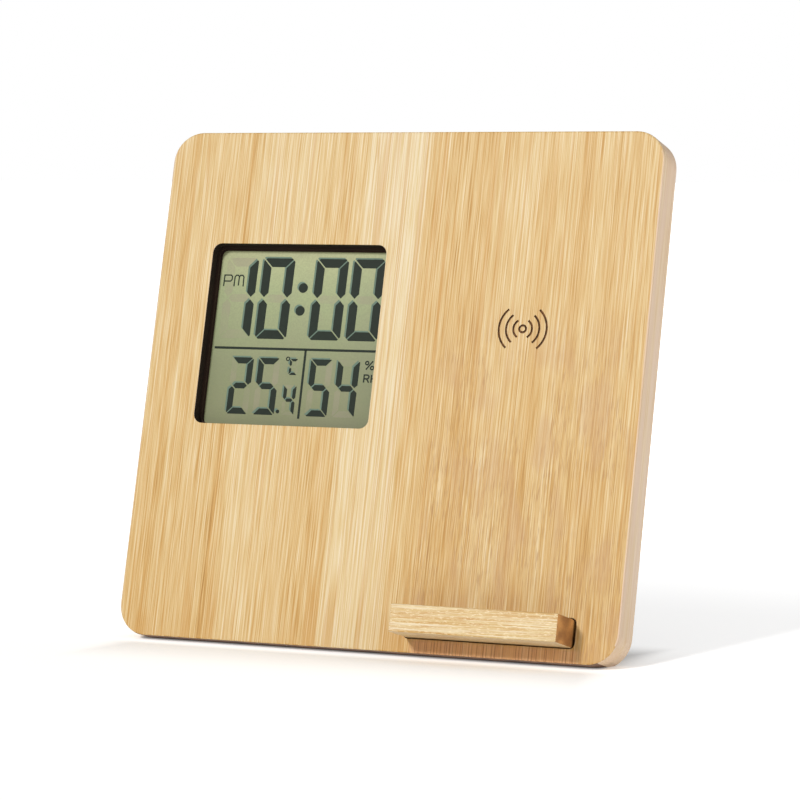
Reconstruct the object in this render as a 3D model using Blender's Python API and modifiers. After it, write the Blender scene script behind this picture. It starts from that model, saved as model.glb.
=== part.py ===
"""Leaning bamboo weather clock with a wireless phone charger: its construction, piece by piece."""

import math

import bmesh
import bpy
from mathutils import Matrix, Vector

# Clearance kept between neighbouring pieces, in metres like every length below
GAP = 0.0003

# Bamboo front panel
PANEL_WIDTH = 0.154
PANEL_HEIGHT = 0.150
PANEL_THICKNESS = 0.011
PANEL_CORNER_RADIUS = 0.009
EDGE_EASE = 0.0005
FRONT_SKIN = 0.0032
LEAN_ANGLE = math.radians(15.0)
BOTTOM_FACE_DEPTH = 0.0057
OVERCUT = 0.001

# Pocket for the electronics and the shoulder that the rear cover lies on
POCKET_SIDE_RIM = 0.0125
POCKET_BOTTOM_RIM = 0.018
POCKET_TOP_RIM = 0.0155
POCKET_CORNER_RADIUS = 0.003
SHOULDER_WIDTH = 0.0065
SHOULDER_CORNER_RADIUS = 0.005

# Display window
WINDOW_LEFT_MARGIN = 0.0167
WINDOW_WIDTH = 0.0558
WINDOW_HEIGHT = 0.0536
WINDOW_CORNER_RADIUS = 0.0027

# Phone ledge and its slot
LEDGE_RIGHT_MARGIN = 0.0135
LEDGE_LENGTH = 0.0495
LEDGE_SECTION_HEIGHT = 0.0079
LEDGE_BOTTOM_HEIGHT = 0.0044
LEDGE_PROJECTION = 0.0122
LEDGE_END_CLEARANCE = 0.0008
LEDGE_EDGE_EASE = 0.0004
TONGUE_RELIEF = 0.0002
SLOT_DEPTH = 0.006
SLOT_CORNER_RADIUS = 0.0015

# Rear cover
COVER_THICKNESS = 0.0018
RIB_THICKNESS = 0.0012
RIB_DEPTH = 0.0027
POST_RADIUS = 0.0018

# Folding leg, its channel and its hinge
LEG_BOARD_CLEARANCE = 0.0037
LEG_WIDTH = 0.012
LEG_THICKNESS = 0.0042
LEG_SIDE_CLEARANCE = 0.0003
LEG_PIVOT_HEIGHT = 0.090
LEG_HEEL_LENGTH = 0.006
LEG_OPEN_ANGLE = math.radians(27.0)
LEG_PAD_LENGTH = 0.0035
CHANNEL_WALL = 0.0012
PIN_RADIUS = 0.0008
PIN_CLEARANCE = 0.0002
BOSS_LENGTH = 0.003
BOSS_HALF_HEIGHT = 0.003
BOSS_FRONT_WALL = 0.0012
PIN_END_WALL = 0.0005
SCOOP_RADIUS = 0.0042
SCOOP_DEPTH = 0.003
SCOOP_HEIGHT = 0.0065

# Cover screws
SCREW_HEAD_RADIUS = 0.0021
SCREW_RADIUS = 0.0009
SCREW_CONE_LENGTH = 0.0012
SCREW_LENGTH = 0.0065
SCREW_TIP_LENGTH = 0.0006
SCREW_STEPS = 16
CORNER_SCREW_INSET = 0.0013

# Display stack
DISPLAY_REVEAL = 0.0006
FRAME_FRONT_LIP = 0.0008
FRAME_WALL = 0.0009
GLASS_MARGIN_X = 0.0014
GLASS_MARGIN_Y = 0.0014
GLASS_SHEET = 0.0006
CONTACT_LEDGE = 0.003
FRAME_DEPTH = 0.0027
RIBBON_WIDTH = 0.032
RIBBON_OFFSET = 0.0056
RIBBON_THICKNESS = 0.00025

# Circuit boards
BOARD_THICKNESS = 0.001
CLOCK_BOARD_WIDTH = 0.0575
CLOCK_BOARD_HEIGHT = 0.039
CLOCK_BOARD_OVERHANG = 0.0022
CLOCK_BOARD_RISE = 0.0015
CLOCK_BOARD_DROP = 0.0043
CHARGER_BOARD_WIDTH = 0.041
CHARGER_BOARD_HEIGHT = 0.046
CHARGER_BOARD_INSET = 0.0025
CHARGER_BOARD_RISE = 0.002
BOARD_CORNER_RADIUS = 0.001
POST_INSET = 0.0027

# Coin cell, its holder and the battery door
CELL_INSET = 0.0165
CELL_RISE = 0.0185
CELL_RADIUS = 0.010
CELL_THICKNESS = 0.0032
CELL_RIM = 0.0003
CELL_CAP_RADIUS = 0.0088
CELL_CAP_DEPTH = 0.0006
HOLDER_BASE = 0.0006
HOLDER_WALL = 0.001
HOLDER_WALL_HEIGHT = 0.0032
DOOR_SIZE = 0.0244
DOOR_CORNER_RADIUS = 0.0008
TAB_OFFSET = 0.007
TAB_WIDTH = 0.004
TAB_REACH = 0.0012
TAB_THICKNESS = 0.0009
LATCH_WIDTH = 0.008
LATCH_THICKNESS = 0.0009
LATCH_DEPTH = 0.0009
NAIL_NOTCH_RADIUS = 0.0035
CONTACT_WIDTH = 0.005
CONTACT_THICKNESS = 0.00025

# Push buttons and their switches
BUTTON_INSET = 0.009
BUTTON_RISE = 0.0055
BUTTON_SPACING = 0.009
BUTTON_RADIUS = 0.0026
BUTTON_FLANGE_RADIUS = 0.0036
BUTTON_FLANGE = 0.001
BUTTON_PROUD = 0.0005
BUTTON_TRAVEL = 0.0005
BUTTON_ROUNDING = 0.0004
PRESS_CLEARANCE = 0.0001
SWITCH_SIZE = 0.006
SWITCH_BODY = 0.002
SWITCH_PLUNGER_RADIUS = 0.0016
SWITCH_PLUNGER = 0.0005

# Sensor and the vent over it
SENSOR_INSET = 0.020
SENSOR_RISE = 0.0105
SENSOR_SIZE = 0.005
SENSOR_THICKNESS = 0.0016
SENSOR_PORT_RADIUS = 0.001
VENT_COUNT = 5
VENT_SPACING = 0.0022
VENT_WIDTH = 0.0012
VENT_LENGTH = 0.009

# Clock chip under its resin dome
CHIP_INSET = 0.020
CHIP_RISE = 0.0275
CHIP_RADIUS = 0.005
CHIP_DOME = 0.0014
CHIP_EDGE = 0.0002
DOME_STEPS = 5

# Charger
COIL_OFFSET = 0.00095
COIL_RISE = 0.0805
COIL_INNER_RADIUS = 0.009
COIL_PITCH = 0.00125
COIL_TURNS = 8.5
COIL_WIRE_RADIUS = 0.0004
COIL_POINTS_PER_TURN = 24
LEAD_OFFSET = 0.006
LEAD_LANDING = 0.006
LEAD_BEND = 0.002
FERRITE_MARGIN = 0.0004
FERRITE_THICKNESS = 0.0008
FERRITE_SLOT_WIDTH = 0.0018
SOCKET_INSET = 0.020
SOCKET_RISE = 0.011
SOCKET_WIDTH = 0.00894
SOCKET_SECTION = 0.0033
SOCKET_WALL = 0.00033
SOCKET_END_RADIUS = 0.00164
SOCKET_BASE = 0.0014
TONGUE_WIDTH = 0.0067
TONGUE_THICKNESS = 0.0007
TONGUE_SETBACK = 0.0007
POWER_CHIP_INSET = 0.025
POWER_CHIP_RISE = 0.032
POWER_CHIP_SIZE = 0.006
POWER_CHIP_THICKNESS = 0.0009

# Depths measured back from the panel's front face
REAR = PANEL_THICKNESS
COVER_INNER = REAR - COVER_THICKNESS
SHOULDER = COVER_INNER - GAP
BOARD_FRONT = FRONT_SKIN + GAP
BOARD_REAR = BOARD_FRONT + BOARD_THICKNESS
ON_BOARD = BOARD_REAR + GAP
PIVOT_DEPTH = REAR - LEG_THICKNESS / 2
CHANNEL_FLOOR = PIVOT_DEPTH - LEG_THICKNESS / 2 - GAP
CHANNEL_FRONT = CHANNEL_FLOOR - CHANNEL_WALL
FRAME_FRONT = FRONT_SKIN + GAP
GLASS_FRONT = FRAME_FRONT + FRAME_FRONT_LIP + GAP
GLASS_STEP = GLASS_FRONT + GLASS_SHEET
GLASS_REAR = GLASS_STEP + GLASS_SHEET
COIL_DEPTH = BOARD_FRONT + COIL_WIRE_RADIUS
FERRITE_FRONT = COIL_DEPTH + COIL_WIRE_RADIUS + GAP
FERRITE_REAR = FERRITE_FRONT + FERRITE_THICKNESS
LEAD_DEPTH = ON_BOARD + COIL_WIRE_RADIUS

# Places seen from the front: the left group hangs on the window, the right group on the ledge
LEFT_EDGE = -PANEL_WIDTH / 2
RIGHT_EDGE = PANEL_WIDTH / 2
CLOCK_BOARD_BOTTOM = POCKET_BOTTOM_RIM + CLOCK_BOARD_RISE
CLOCK_BOARD_TOP = CLOCK_BOARD_BOTTOM + CLOCK_BOARD_HEIGHT
CLOCK_BOARD_LEFT = LEFT_EDGE + WINDOW_LEFT_MARGIN - CLOCK_BOARD_OVERHANG
CLOCK_BOARD_RIGHT = CLOCK_BOARD_LEFT + CLOCK_BOARD_WIDTH
WINDOW_CENTRE_X = LEFT_EDGE + WINDOW_LEFT_MARGIN + WINDOW_WIDTH / 2
WINDOW_CENTRE_HEIGHT = CLOCK_BOARD_TOP + CLOCK_BOARD_DROP + WINDOW_HEIGHT / 2
RIBBON_CENTRE_X = WINDOW_CENTRE_X - RIBBON_OFFSET
CELL_CENTRE_X = CLOCK_BOARD_LEFT + CELL_INSET
CELL_CENTRE_HEIGHT = CLOCK_BOARD_BOTTOM + CELL_RISE
BUTTON_X = CLOCK_BOARD_RIGHT - BUTTON_INSET
BUTTON_LOWEST_HEIGHT = CLOCK_BOARD_BOTTOM + BUTTON_RISE
SENSOR_X = CLOCK_BOARD_RIGHT - SENSOR_INSET
SENSOR_HEIGHT = CLOCK_BOARD_BOTTOM + SENSOR_RISE
CHIP_X = CLOCK_BOARD_RIGHT - CHIP_INSET
CHIP_HEIGHT = CLOCK_BOARD_BOTTOM + CHIP_RISE
LEDGE_CENTRE_X = RIGHT_EDGE - LEDGE_RIGHT_MARGIN - LEDGE_LENGTH / 2
LEDGE_TOP_HEIGHT = LEDGE_BOTTOM_HEIGHT + LEDGE_SECTION_HEIGHT
COIL_CENTRE_X = LEDGE_CENTRE_X + COIL_OFFSET
COIL_CENTRE_HEIGHT = LEDGE_TOP_HEIGHT + COIL_RISE
CHARGER_BOARD_RIGHT = RIGHT_EDGE - POCKET_SIDE_RIM - CHARGER_BOARD_INSET
CHARGER_BOARD_LEFT = CHARGER_BOARD_RIGHT - CHARGER_BOARD_WIDTH
CHARGER_BOARD_BOTTOM = POCKET_BOTTOM_RIM + CHARGER_BOARD_RISE
CHARGER_BOARD_TOP = CHARGER_BOARD_BOTTOM + CHARGER_BOARD_HEIGHT
SOCKET_X = CHARGER_BOARD_LEFT + SOCKET_INSET
SOCKET_HEIGHT = CHARGER_BOARD_BOTTOM + SOCKET_RISE
POWER_CHIP_X = CHARGER_BOARD_LEFT + POWER_CHIP_INSET
POWER_CHIP_HEIGHT = CHARGER_BOARD_BOTTOM + POWER_CHIP_RISE
CHANNEL_HALF = LEG_WIDTH / 2 + LEG_SIDE_CLEARANCE
CHANNEL_LEFT = CLOCK_BOARD_RIGHT + LEG_BOARD_CLEARANCE + CHANNEL_WALL
CHANNEL_RIGHT = CHANNEL_LEFT + 2 * CHANNEL_HALF
LEG_CENTRE_X = CHANNEL_LEFT + CHANNEL_HALF

# Outlines seen from the front
POCKET_WIDTH = PANEL_WIDTH - 2 * POCKET_SIDE_RIM
POCKET_HEIGHT = PANEL_HEIGHT - POCKET_BOTTOM_RIM - POCKET_TOP_RIM
POCKET_CENTRE = (0.0, POCKET_BOTTOM_RIM + POCKET_HEIGHT / 2)
REBATE_WIDTH = POCKET_WIDTH + 2 * SHOULDER_WIDTH
REBATE_HEIGHT = POCKET_HEIGHT + 2 * SHOULDER_WIDTH
REBATE_BOTTOM = POCKET_BOTTOM_RIM - SHOULDER_WIDTH
COVER_BOTTOM = REBATE_BOTTOM + GAP
GLASS_WIDTH = WINDOW_WIDTH + 2 * GLASS_MARGIN_X
GLASS_HEIGHT = WINDOW_HEIGHT + 2 * GLASS_MARGIN_Y
FRAME_WIDTH = GLASS_WIDTH + 2 * (GAP + FRAME_WALL)
FRAME_HEIGHT = GLASS_HEIGHT + 2 * (GAP + FRAME_WALL)
COIL_OUTER_RADIUS = COIL_INNER_RADIUS + COIL_TURNS * COIL_PITCH
FERRITE_SIZE = 2 * (COIL_OUTER_RADIUS + FERRITE_MARGIN)
LEAD_RISE = COIL_INNER_RADIUS - 3 * COIL_WIRE_RADIUS
HEEL_SWEEP = math.hypot(LEG_HEEL_LENGTH, LEG_THICKNESS / 2)
CHANNEL_TOP = LEG_PIVOT_HEIGHT + HEEL_SWEEP + GAP
DOOR_OPENING = DOOR_SIZE + 2 * GAP
DOOR_HINGE_HEIGHT = CELL_CENTRE_HEIGHT - DOOR_SIZE / 2
BUTTON_NAMES = ("unit_button", "down_button", "up_button", "mode_button")

# Where the panel frame stands: its land lies on the floor and the origin is under the middle of the box
PANEL_RISE = BOTTOM_FACE_DEPTH * math.sin(LEAN_ANGLE)
LEG_LEAN = LEG_OPEN_ANGLE - LEAN_ANGLE
PIVOT_RISE = (
    LEG_PIVOT_HEIGHT * math.cos(LEAN_ANGLE) - PIVOT_DEPTH * math.sin(LEAN_ANGLE) + PANEL_RISE
)
PIVOT_SETBACK = LEG_PIVOT_HEIGHT * math.sin(LEAN_ANGLE) + PIVOT_DEPTH * math.cos(LEAN_ANGLE)
LEG_HALF = LEG_THICKNESS / 2


def leg_reach(offset):
    """Distance along the leg from its pivot to the floor, on a line offset towards the leg's rear face."""
    return (PIVOT_RISE + offset * math.sin(LEG_LEAN)) / math.cos(LEG_LEAN)


FOOT_SETBACK = (
    PIVOT_SETBACK + leg_reach(LEG_HALF) * math.sin(LEG_LEAN) + LEG_HALF * math.cos(LEG_LEAN)
)
LEDGE_SETBACK = (
    (LEDGE_BOTTOM_HEIGHT + LEDGE_EDGE_EASE) * math.sin(LEAN_ANGLE)
    - LEDGE_PROJECTION * math.cos(LEAN_ANGLE)
)
PANEL_SHIFT = -(FOOT_SETBACK + LEDGE_SETBACK) / 2

# Outline planes: FACE puts an outline on the panel's face, SIDE stands it on edge, front to back
FACE = Matrix.Rotation(math.radians(90.0), 4, "X")
SIDE = Matrix(((0, 0, 1, 0), (1, 0, 0, 0), (0, 1, 0, 0), (0, 0, 0, 1)))
BACKWARDS = Matrix.Rotation(math.radians(-90.0), 4, "X")
SIDEWAYS = Matrix.Rotation(math.radians(90.0), 4, "Y")


def clear_scene():
    for old in list(bpy.data.objects):
        bpy.data.objects.remove(old, do_unlink=True)


def new_collection(name):
    group = bpy.data.collections.new(name)
    bpy.context.scene.collection.children.link(group)
    return group


def new_material(name, colour, roughness, metallic=0.0):
    material = bpy.data.materials.new(name)
    material.use_nodes = True
    shader = material.node_tree.nodes["Principled BSDF"]
    shader.inputs["Base Color"].default_value = (*colour, 1.0)
    shader.inputs["Roughness"].default_value = roughness
    shader.inputs["Metallic"].default_value = metallic
    return material


def new_empty(name, location, rotation, parent=None):
    empty = bpy.data.objects.new(name, None)
    empty.location = location
    empty.rotation_euler = rotation
    empty.parent = parent
    PARTS.objects.link(empty)
    return empty


def new_object(name, mesh, location):
    """An object in the panel's frame: X to the right, Y back from the front face, Z up the panel."""
    body = bpy.data.objects.new(name, mesh)
    body.location = location
    body.parent = PANEL_FRAME
    return body


def as_part(body, material, parent=None):
    body.data.materials.clear()
    body.data.materials.append(material)
    if parent is not None:
        body.parent = parent
    PARTS.objects.link(body)
    return body


def as_cutter(body):
    body.hide_render = True
    body.display_type = "WIRE"
    CUTTERS.objects.link(body)
    return body


def apply_tool(target, tool, operation):
    tool.parent = target.parent
    as_cutter(tool)
    step = target.modifiers.new(operation.lower() + "_" + tool.name, "BOOLEAN")
    step.operation = operation
    step.solver = "EXACT"
    step.object = tool


def cut(target, *tools):
    for tool in tools:
        apply_tool(target, tool, "DIFFERENCE")


def join(target, *tools):
    for tool in tools:
        apply_tool(target, tool, "UNION")


def bevel_edges(body, width, segments=2):
    step = body.modifiers.new("eased_edges", "BEVEL")
    step.width = width
    step.segments = segments
    step.limit_method = "ANGLE"
    step.angle_limit = math.radians(40.0)


def rounded_outline(width, height, radius, steps=6):
    """Corner points of a rectangle with round corners, centred on zero."""
    points = []
    corners = ((1, 1, 0), (-1, 1, 90), (-1, -1, 180), (1, -1, 270))
    for side_x, side_y, start in corners:
        centre_x = side_x * (width / 2 - radius)
        centre_y = side_y * (height / 2 - radius)
        for step in range(steps + 1):
            angle = math.radians(start + 90.0 * step / steps)
            points.append((centre_x + radius * math.cos(angle), centre_y + radius * math.sin(angle)))
    return points


def circle_outline(radius, steps=24):
    turn = 2 * math.pi / steps
    return [(radius * math.cos(turn * step), radius * math.sin(turn * step)) for step in range(steps)]


def lofted_mesh(name, loops):
    """A closed solid through rings of points, with one flat face at each end."""
    editable = bmesh.new()
    rings = [[editable.verts.new(point) for point in loop] for loop in loops]
    count = len(loops[0])
    for near, far in zip(rings, rings[1:]):
        for step in range(count):
            after = (step + 1) % count
            editable.faces.new((near[step], near[after], far[after], far[step]))
    editable.faces.new(rings[0])
    editable.faces.new(rings[-1])
    bmesh.ops.recalc_face_normals(editable, faces=editable.faces)
    mesh = bpy.data.meshes.new(name)
    editable.to_mesh(mesh)
    editable.free()
    return mesh


def outline_mesh(name, loops, thickness, plane):
    """A flat outline, with any holes, extruded to both sides of its plane."""
    if len(loops) == 1:
        mesh = lofted_mesh(
            name, [[(across, along, side * thickness / 2) for across, along in loops[0]] for side in (-1, 1)],
        )
        mesh.transform(plane)
        return mesh
    curve = bpy.data.curves.new(name, "CURVE")
    curve.dimensions = "2D"
    curve.fill_mode = "BOTH"
    curve.extrude = thickness / 2
    for loop in loops:
        spline = curve.splines.new("POLY")
        spline.points.add(len(loop) - 1)
        for point, (across, along) in zip(spline.points, loop):
            point.co = (across, along, 0.0, 1.0)
        spline.use_cyclic_u = True
    return welded_mesh(name, curve, plane)


def welded_mesh(name, curve, plane):
    source = bpy.data.objects.new(name + "_curve", curve)
    bpy.context.scene.collection.objects.link(source)
    graph = bpy.context.evaluated_depsgraph_get()
    mesh = bpy.data.meshes.new_from_object(source.evaluated_get(graph))
    bpy.data.objects.remove(source, do_unlink=True)
    editable = bmesh.new()
    editable.from_mesh(mesh)
    bmesh.ops.remove_doubles(editable, verts=editable.verts, dist=1e-6)
    bmesh.ops.recalc_face_normals(editable, faces=editable.faces)
    editable.to_mesh(mesh)
    editable.free()
    mesh.transform(plane)
    return mesh


def plate(name, outline, centre, front, rear, holes=()):
    """A flat piece lying in the panel, from one depth to another."""
    mesh = outline_mesh(name, [outline, *holes], rear - front, FACE)
    return new_object(name, mesh, (centre[0], (front + rear) / 2, centre[1]))


def block(name, across, depth, height):
    """A box given by its low and high limits on each axis of the panel's frame."""
    limits = (across, depth, height)
    size = [high - low for low, high in limits]
    centre = [(high + low) / 2 for low, high in limits]
    editable = bmesh.new()
    bmesh.ops.create_cube(editable, size=1.0, matrix=Matrix.Diagonal((*size, 1.0)))
    mesh = bpy.data.meshes.new(name)
    editable.to_mesh(mesh)
    editable.free()
    return new_object(name, mesh, centre)


def rod(name, radius, centre, start, end, direction=BACKWARDS, sides=24):
    """A round bar from start to end: along the depth at (x, height), or sideways at (depth, height)."""
    editable = bmesh.new()
    bmesh.ops.create_cone(
        editable, cap_ends=True, segments=sides, radius1=radius, radius2=radius,
        depth=end - start, matrix=direction,
    )
    mesh = bpy.data.meshes.new(name)
    editable.to_mesh(mesh)
    editable.free()
    middle = (start + end) / 2
    if direction is SIDEWAYS:
        return new_object(name, mesh, (middle, centre[0], centre[1]))
    return new_object(name, mesh, (centre[0], middle, centre[1]))


def turned(name, profile, centre, start, steps=24):
    """A turned piece on an axis along the depth; the profile runs down its outer side, rear to front."""
    editable = bmesh.new()
    previous = None
    for radius, along in profile:
        vertex = editable.verts.new((radius, 0.0, along))
        if previous is not None:
            editable.edges.new((previous, vertex))
        previous = vertex
    mesh = bpy.data.meshes.new(name)
    editable.to_mesh(mesh)
    editable.free()
    body = new_object(name, mesh, (centre[0], start, centre[1]))
    body.rotation_euler = (math.radians(-90.0), 0.0, 0.0)
    step = body.modifiers.new("turning", "SCREW")
    step.axis = "Z"
    step.steps = steps
    step.render_steps = steps
    step.use_merge_vertices = True
    step.merge_threshold = 1e-6
    step.use_smooth_shade = False
    return body


def strip(name, path, width, thickness, plane, location):
    """A bent strip of even thickness: an open path extruded to its width and made solid."""
    curve = bpy.data.curves.new(name, "CURVE")
    curve.dimensions = "3D"
    curve.extrude = width / 2
    spline = curve.splines.new("POLY")
    spline.points.add(len(path) - 1)
    for point, (across, along) in zip(spline.points, path):
        point.co = (across, along, 0.0, 1.0)
    body = new_object(name, welded_mesh(name, curve, plane), location)
    step = body.modifiers.new("thickness", "SOLIDIFY")
    step.thickness = thickness
    step.offset = 0.0
    step.use_even_offset = True
    return body


def screw_positions():
    """Places as (x, height): side screws centred on the shoulder, corner screws further in on it."""
    inset = SHOULDER_WIDTH / 2
    side = POCKET_WIDTH / 2 + inset
    low = POCKET_BOTTOM_RIM - inset
    high = POCKET_BOTTOM_RIM + POCKET_HEIGHT + inset
    places = []
    for end in (-1, 1):
        corner_x = end * (side - CORNER_SCREW_INSET)
        places.append((corner_x, low + CORNER_SCREW_INSET))
        places.append((end * side, (low + high) / 2))
        places.append((corner_x, high - CORNER_SCREW_INSET))
    return places


def post_positions():
    """Posts of the cover as (x, height, depth of the surface that each one holds down)."""
    posts = []
    for left, right, bottom, top in (
        (CLOCK_BOARD_LEFT, CLOCK_BOARD_RIGHT, CLOCK_BOARD_BOTTOM, CLOCK_BOARD_TOP),
        (CHARGER_BOARD_LEFT, CHARGER_BOARD_RIGHT, CHARGER_BOARD_BOTTOM, CHARGER_BOARD_TOP - LEAD_LANDING),
    ):
        for x in (left + POST_INSET, right - POST_INSET):
            for height in (bottom + POST_INSET, top - POST_INSET):
                posts.append((x, height, BOARD_REAR))
    for side_x in (-1, 1):
        for side_y in (-1, 1):
            x = WINDOW_CENTRE_X + side_x * WINDOW_WIDTH / 4
            height = WINDOW_CENTRE_HEIGHT + side_y * WINDOW_HEIGHT / 4
            posts.append((x, height, GLASS_REAR))
            x = COIL_CENTRE_X + side_x * COIL_OUTER_RADIUS / 2
            height = COIL_CENTRE_HEIGHT + side_y * COIL_OUTER_RADIUS / 2
            posts.append((x, height, FERRITE_REAR))
    return posts


def button_heights():
    return [BUTTON_LOWEST_HEIGHT + BUTTON_SPACING * step for step in range(len(BUTTON_NAMES))]


def countersunk_hole(name, centre):
    """A screw hole with its cone, as one tool that is carried on past the rear face at the same slope."""
    slope = (SCREW_HEAD_RADIUS - SCREW_RADIUS) / SCREW_CONE_LENGTH
    clearance = GAP / 2
    cone_front = REAR - clearance - SCREW_CONE_LENGTH
    mouth_radius = SCREW_HEAD_RADIUS + clearance + slope * OVERCUT
    rings = (
        (SCREW_RADIUS + clearance, COVER_INNER - OVERCUT),
        (SCREW_RADIUS + clearance, cone_front),
        (mouth_radius, REAR - clearance + OVERCUT),
    )
    loops = []
    for radius, depth in rings:
        loops.append([(x, depth, height) for x, height in circle_outline(radius, SCREW_STEPS)])
    return new_object(name, lofted_mesh(name, loops), (centre[0], 0.0, centre[1]))


def make_front_panel():
    outline = rounded_outline(PANEL_WIDTH, PANEL_HEIGHT, PANEL_CORNER_RADIUS, steps=12)
    panel = plate("front_panel", outline, (0.0, PANEL_HEIGHT / 2), 0.0, REAR)
    bevel_edges(panel, EDGE_EASE)
    behind = REAR + OVERCUT
    rebate = rounded_outline(REBATE_WIDTH, REBATE_HEIGHT, SHOULDER_CORNER_RADIUS)
    pocket = rounded_outline(POCKET_WIDTH, POCKET_HEIGHT, POCKET_CORNER_RADIUS)
    window = rounded_outline(WINDOW_WIDTH, WINDOW_HEIGHT, WINDOW_CORNER_RADIUS)
    slot_width = LEDGE_LENGTH + 2 * LEDGE_END_CLEARANCE
    slot = rounded_outline(slot_width, LEDGE_SECTION_HEIGHT + 2 * GAP, SLOT_CORNER_RADIUS, steps=4)
    slot_centre = (LEDGE_CENTRE_X, LEDGE_BOTTOM_HEIGHT + LEDGE_SECTION_HEIGHT / 2)
    window_centre = (WINDOW_CENTRE_X, WINDOW_CENTRE_HEIGHT)
    cut(
        panel,
        plate("cover_rebate", rebate, POCKET_CENTRE, SHOULDER, behind),
        plate("electronics_pocket", pocket, POCKET_CENTRE, FRONT_SKIN, behind),
        plate("window_opening", window, window_centre, -OVERCUT, FRONT_SKIN + OVERCUT),
        plate("ledge_slot", slot, slot_centre, -OVERCUT, SLOT_DEPTH),
        block(
            "leg_notch", (CHANNEL_LEFT, CHANNEL_RIGHT), (CHANNEL_FLOOR, behind),
            (-OVERCUT, POCKET_BOTTOM_RIM + OVERCUT),
        ),
        rod(
            "finger_scoop", SCOOP_RADIUS, (CHANNEL_LEFT, SCOOP_HEIGHT), REAR - SCOOP_DEPTH, behind,
        ),
        floor_cutter(),
    )
    hole_end = REAR - SCREW_LENGTH - 2 * GAP
    for number, centre in enumerate(screw_positions(), start=1):
        hole = rod(
            "pilot_hole_%d" % number, SCREW_RADIUS + GAP, centre, hole_end, SHOULDER + OVERCUT,
        )
        cut(panel, hole)
    return as_part(panel, BAMBOO)


def floor_cutter():
    """What lies under the floor once the panel leans: it planes the land along the bottom rear edge."""
    reach = 4 * PANEL_THICKNESS
    cutter = block("floor", (-PANEL_WIDTH, PANEL_WIDTH), (-reach, reach), (-reach, 0.0))
    cutter.data.transform(Matrix.Translation((0.0, 0.0, -reach / 2)))
    cutter.location = (0.0, BOTTOM_FACE_DEPTH, 0.0)
    cutter.rotation_euler = (LEAN_ANGLE, 0.0, 0.0)
    return cutter


def make_phone_ledge():
    """A bar whose inner part is a tongue in the slot, with a little taken off its top."""
    half = LEDGE_LENGTH / 2
    ledge = block(
        "phone_ledge", (LEDGE_CENTRE_X - half, LEDGE_CENTRE_X + half),
        (-LEDGE_PROJECTION, SLOT_DEPTH - GAP),
        (LEDGE_BOTTOM_HEIGHT, LEDGE_TOP_HEIGHT),
    )
    bevel_edges(ledge, LEDGE_EDGE_EASE)
    relief = block(
        "tongue_relief", (LEDGE_CENTRE_X - LEDGE_LENGTH, LEDGE_CENTRE_X + LEDGE_LENGTH),
        (-GAP, SLOT_DEPTH), (LEDGE_TOP_HEIGHT - TONGUE_RELIEF, LEDGE_TOP_HEIGHT + OVERCUT),
    )
    cut(ledge, relief)
    return as_part(ledge, BAMBOO_END)


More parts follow.
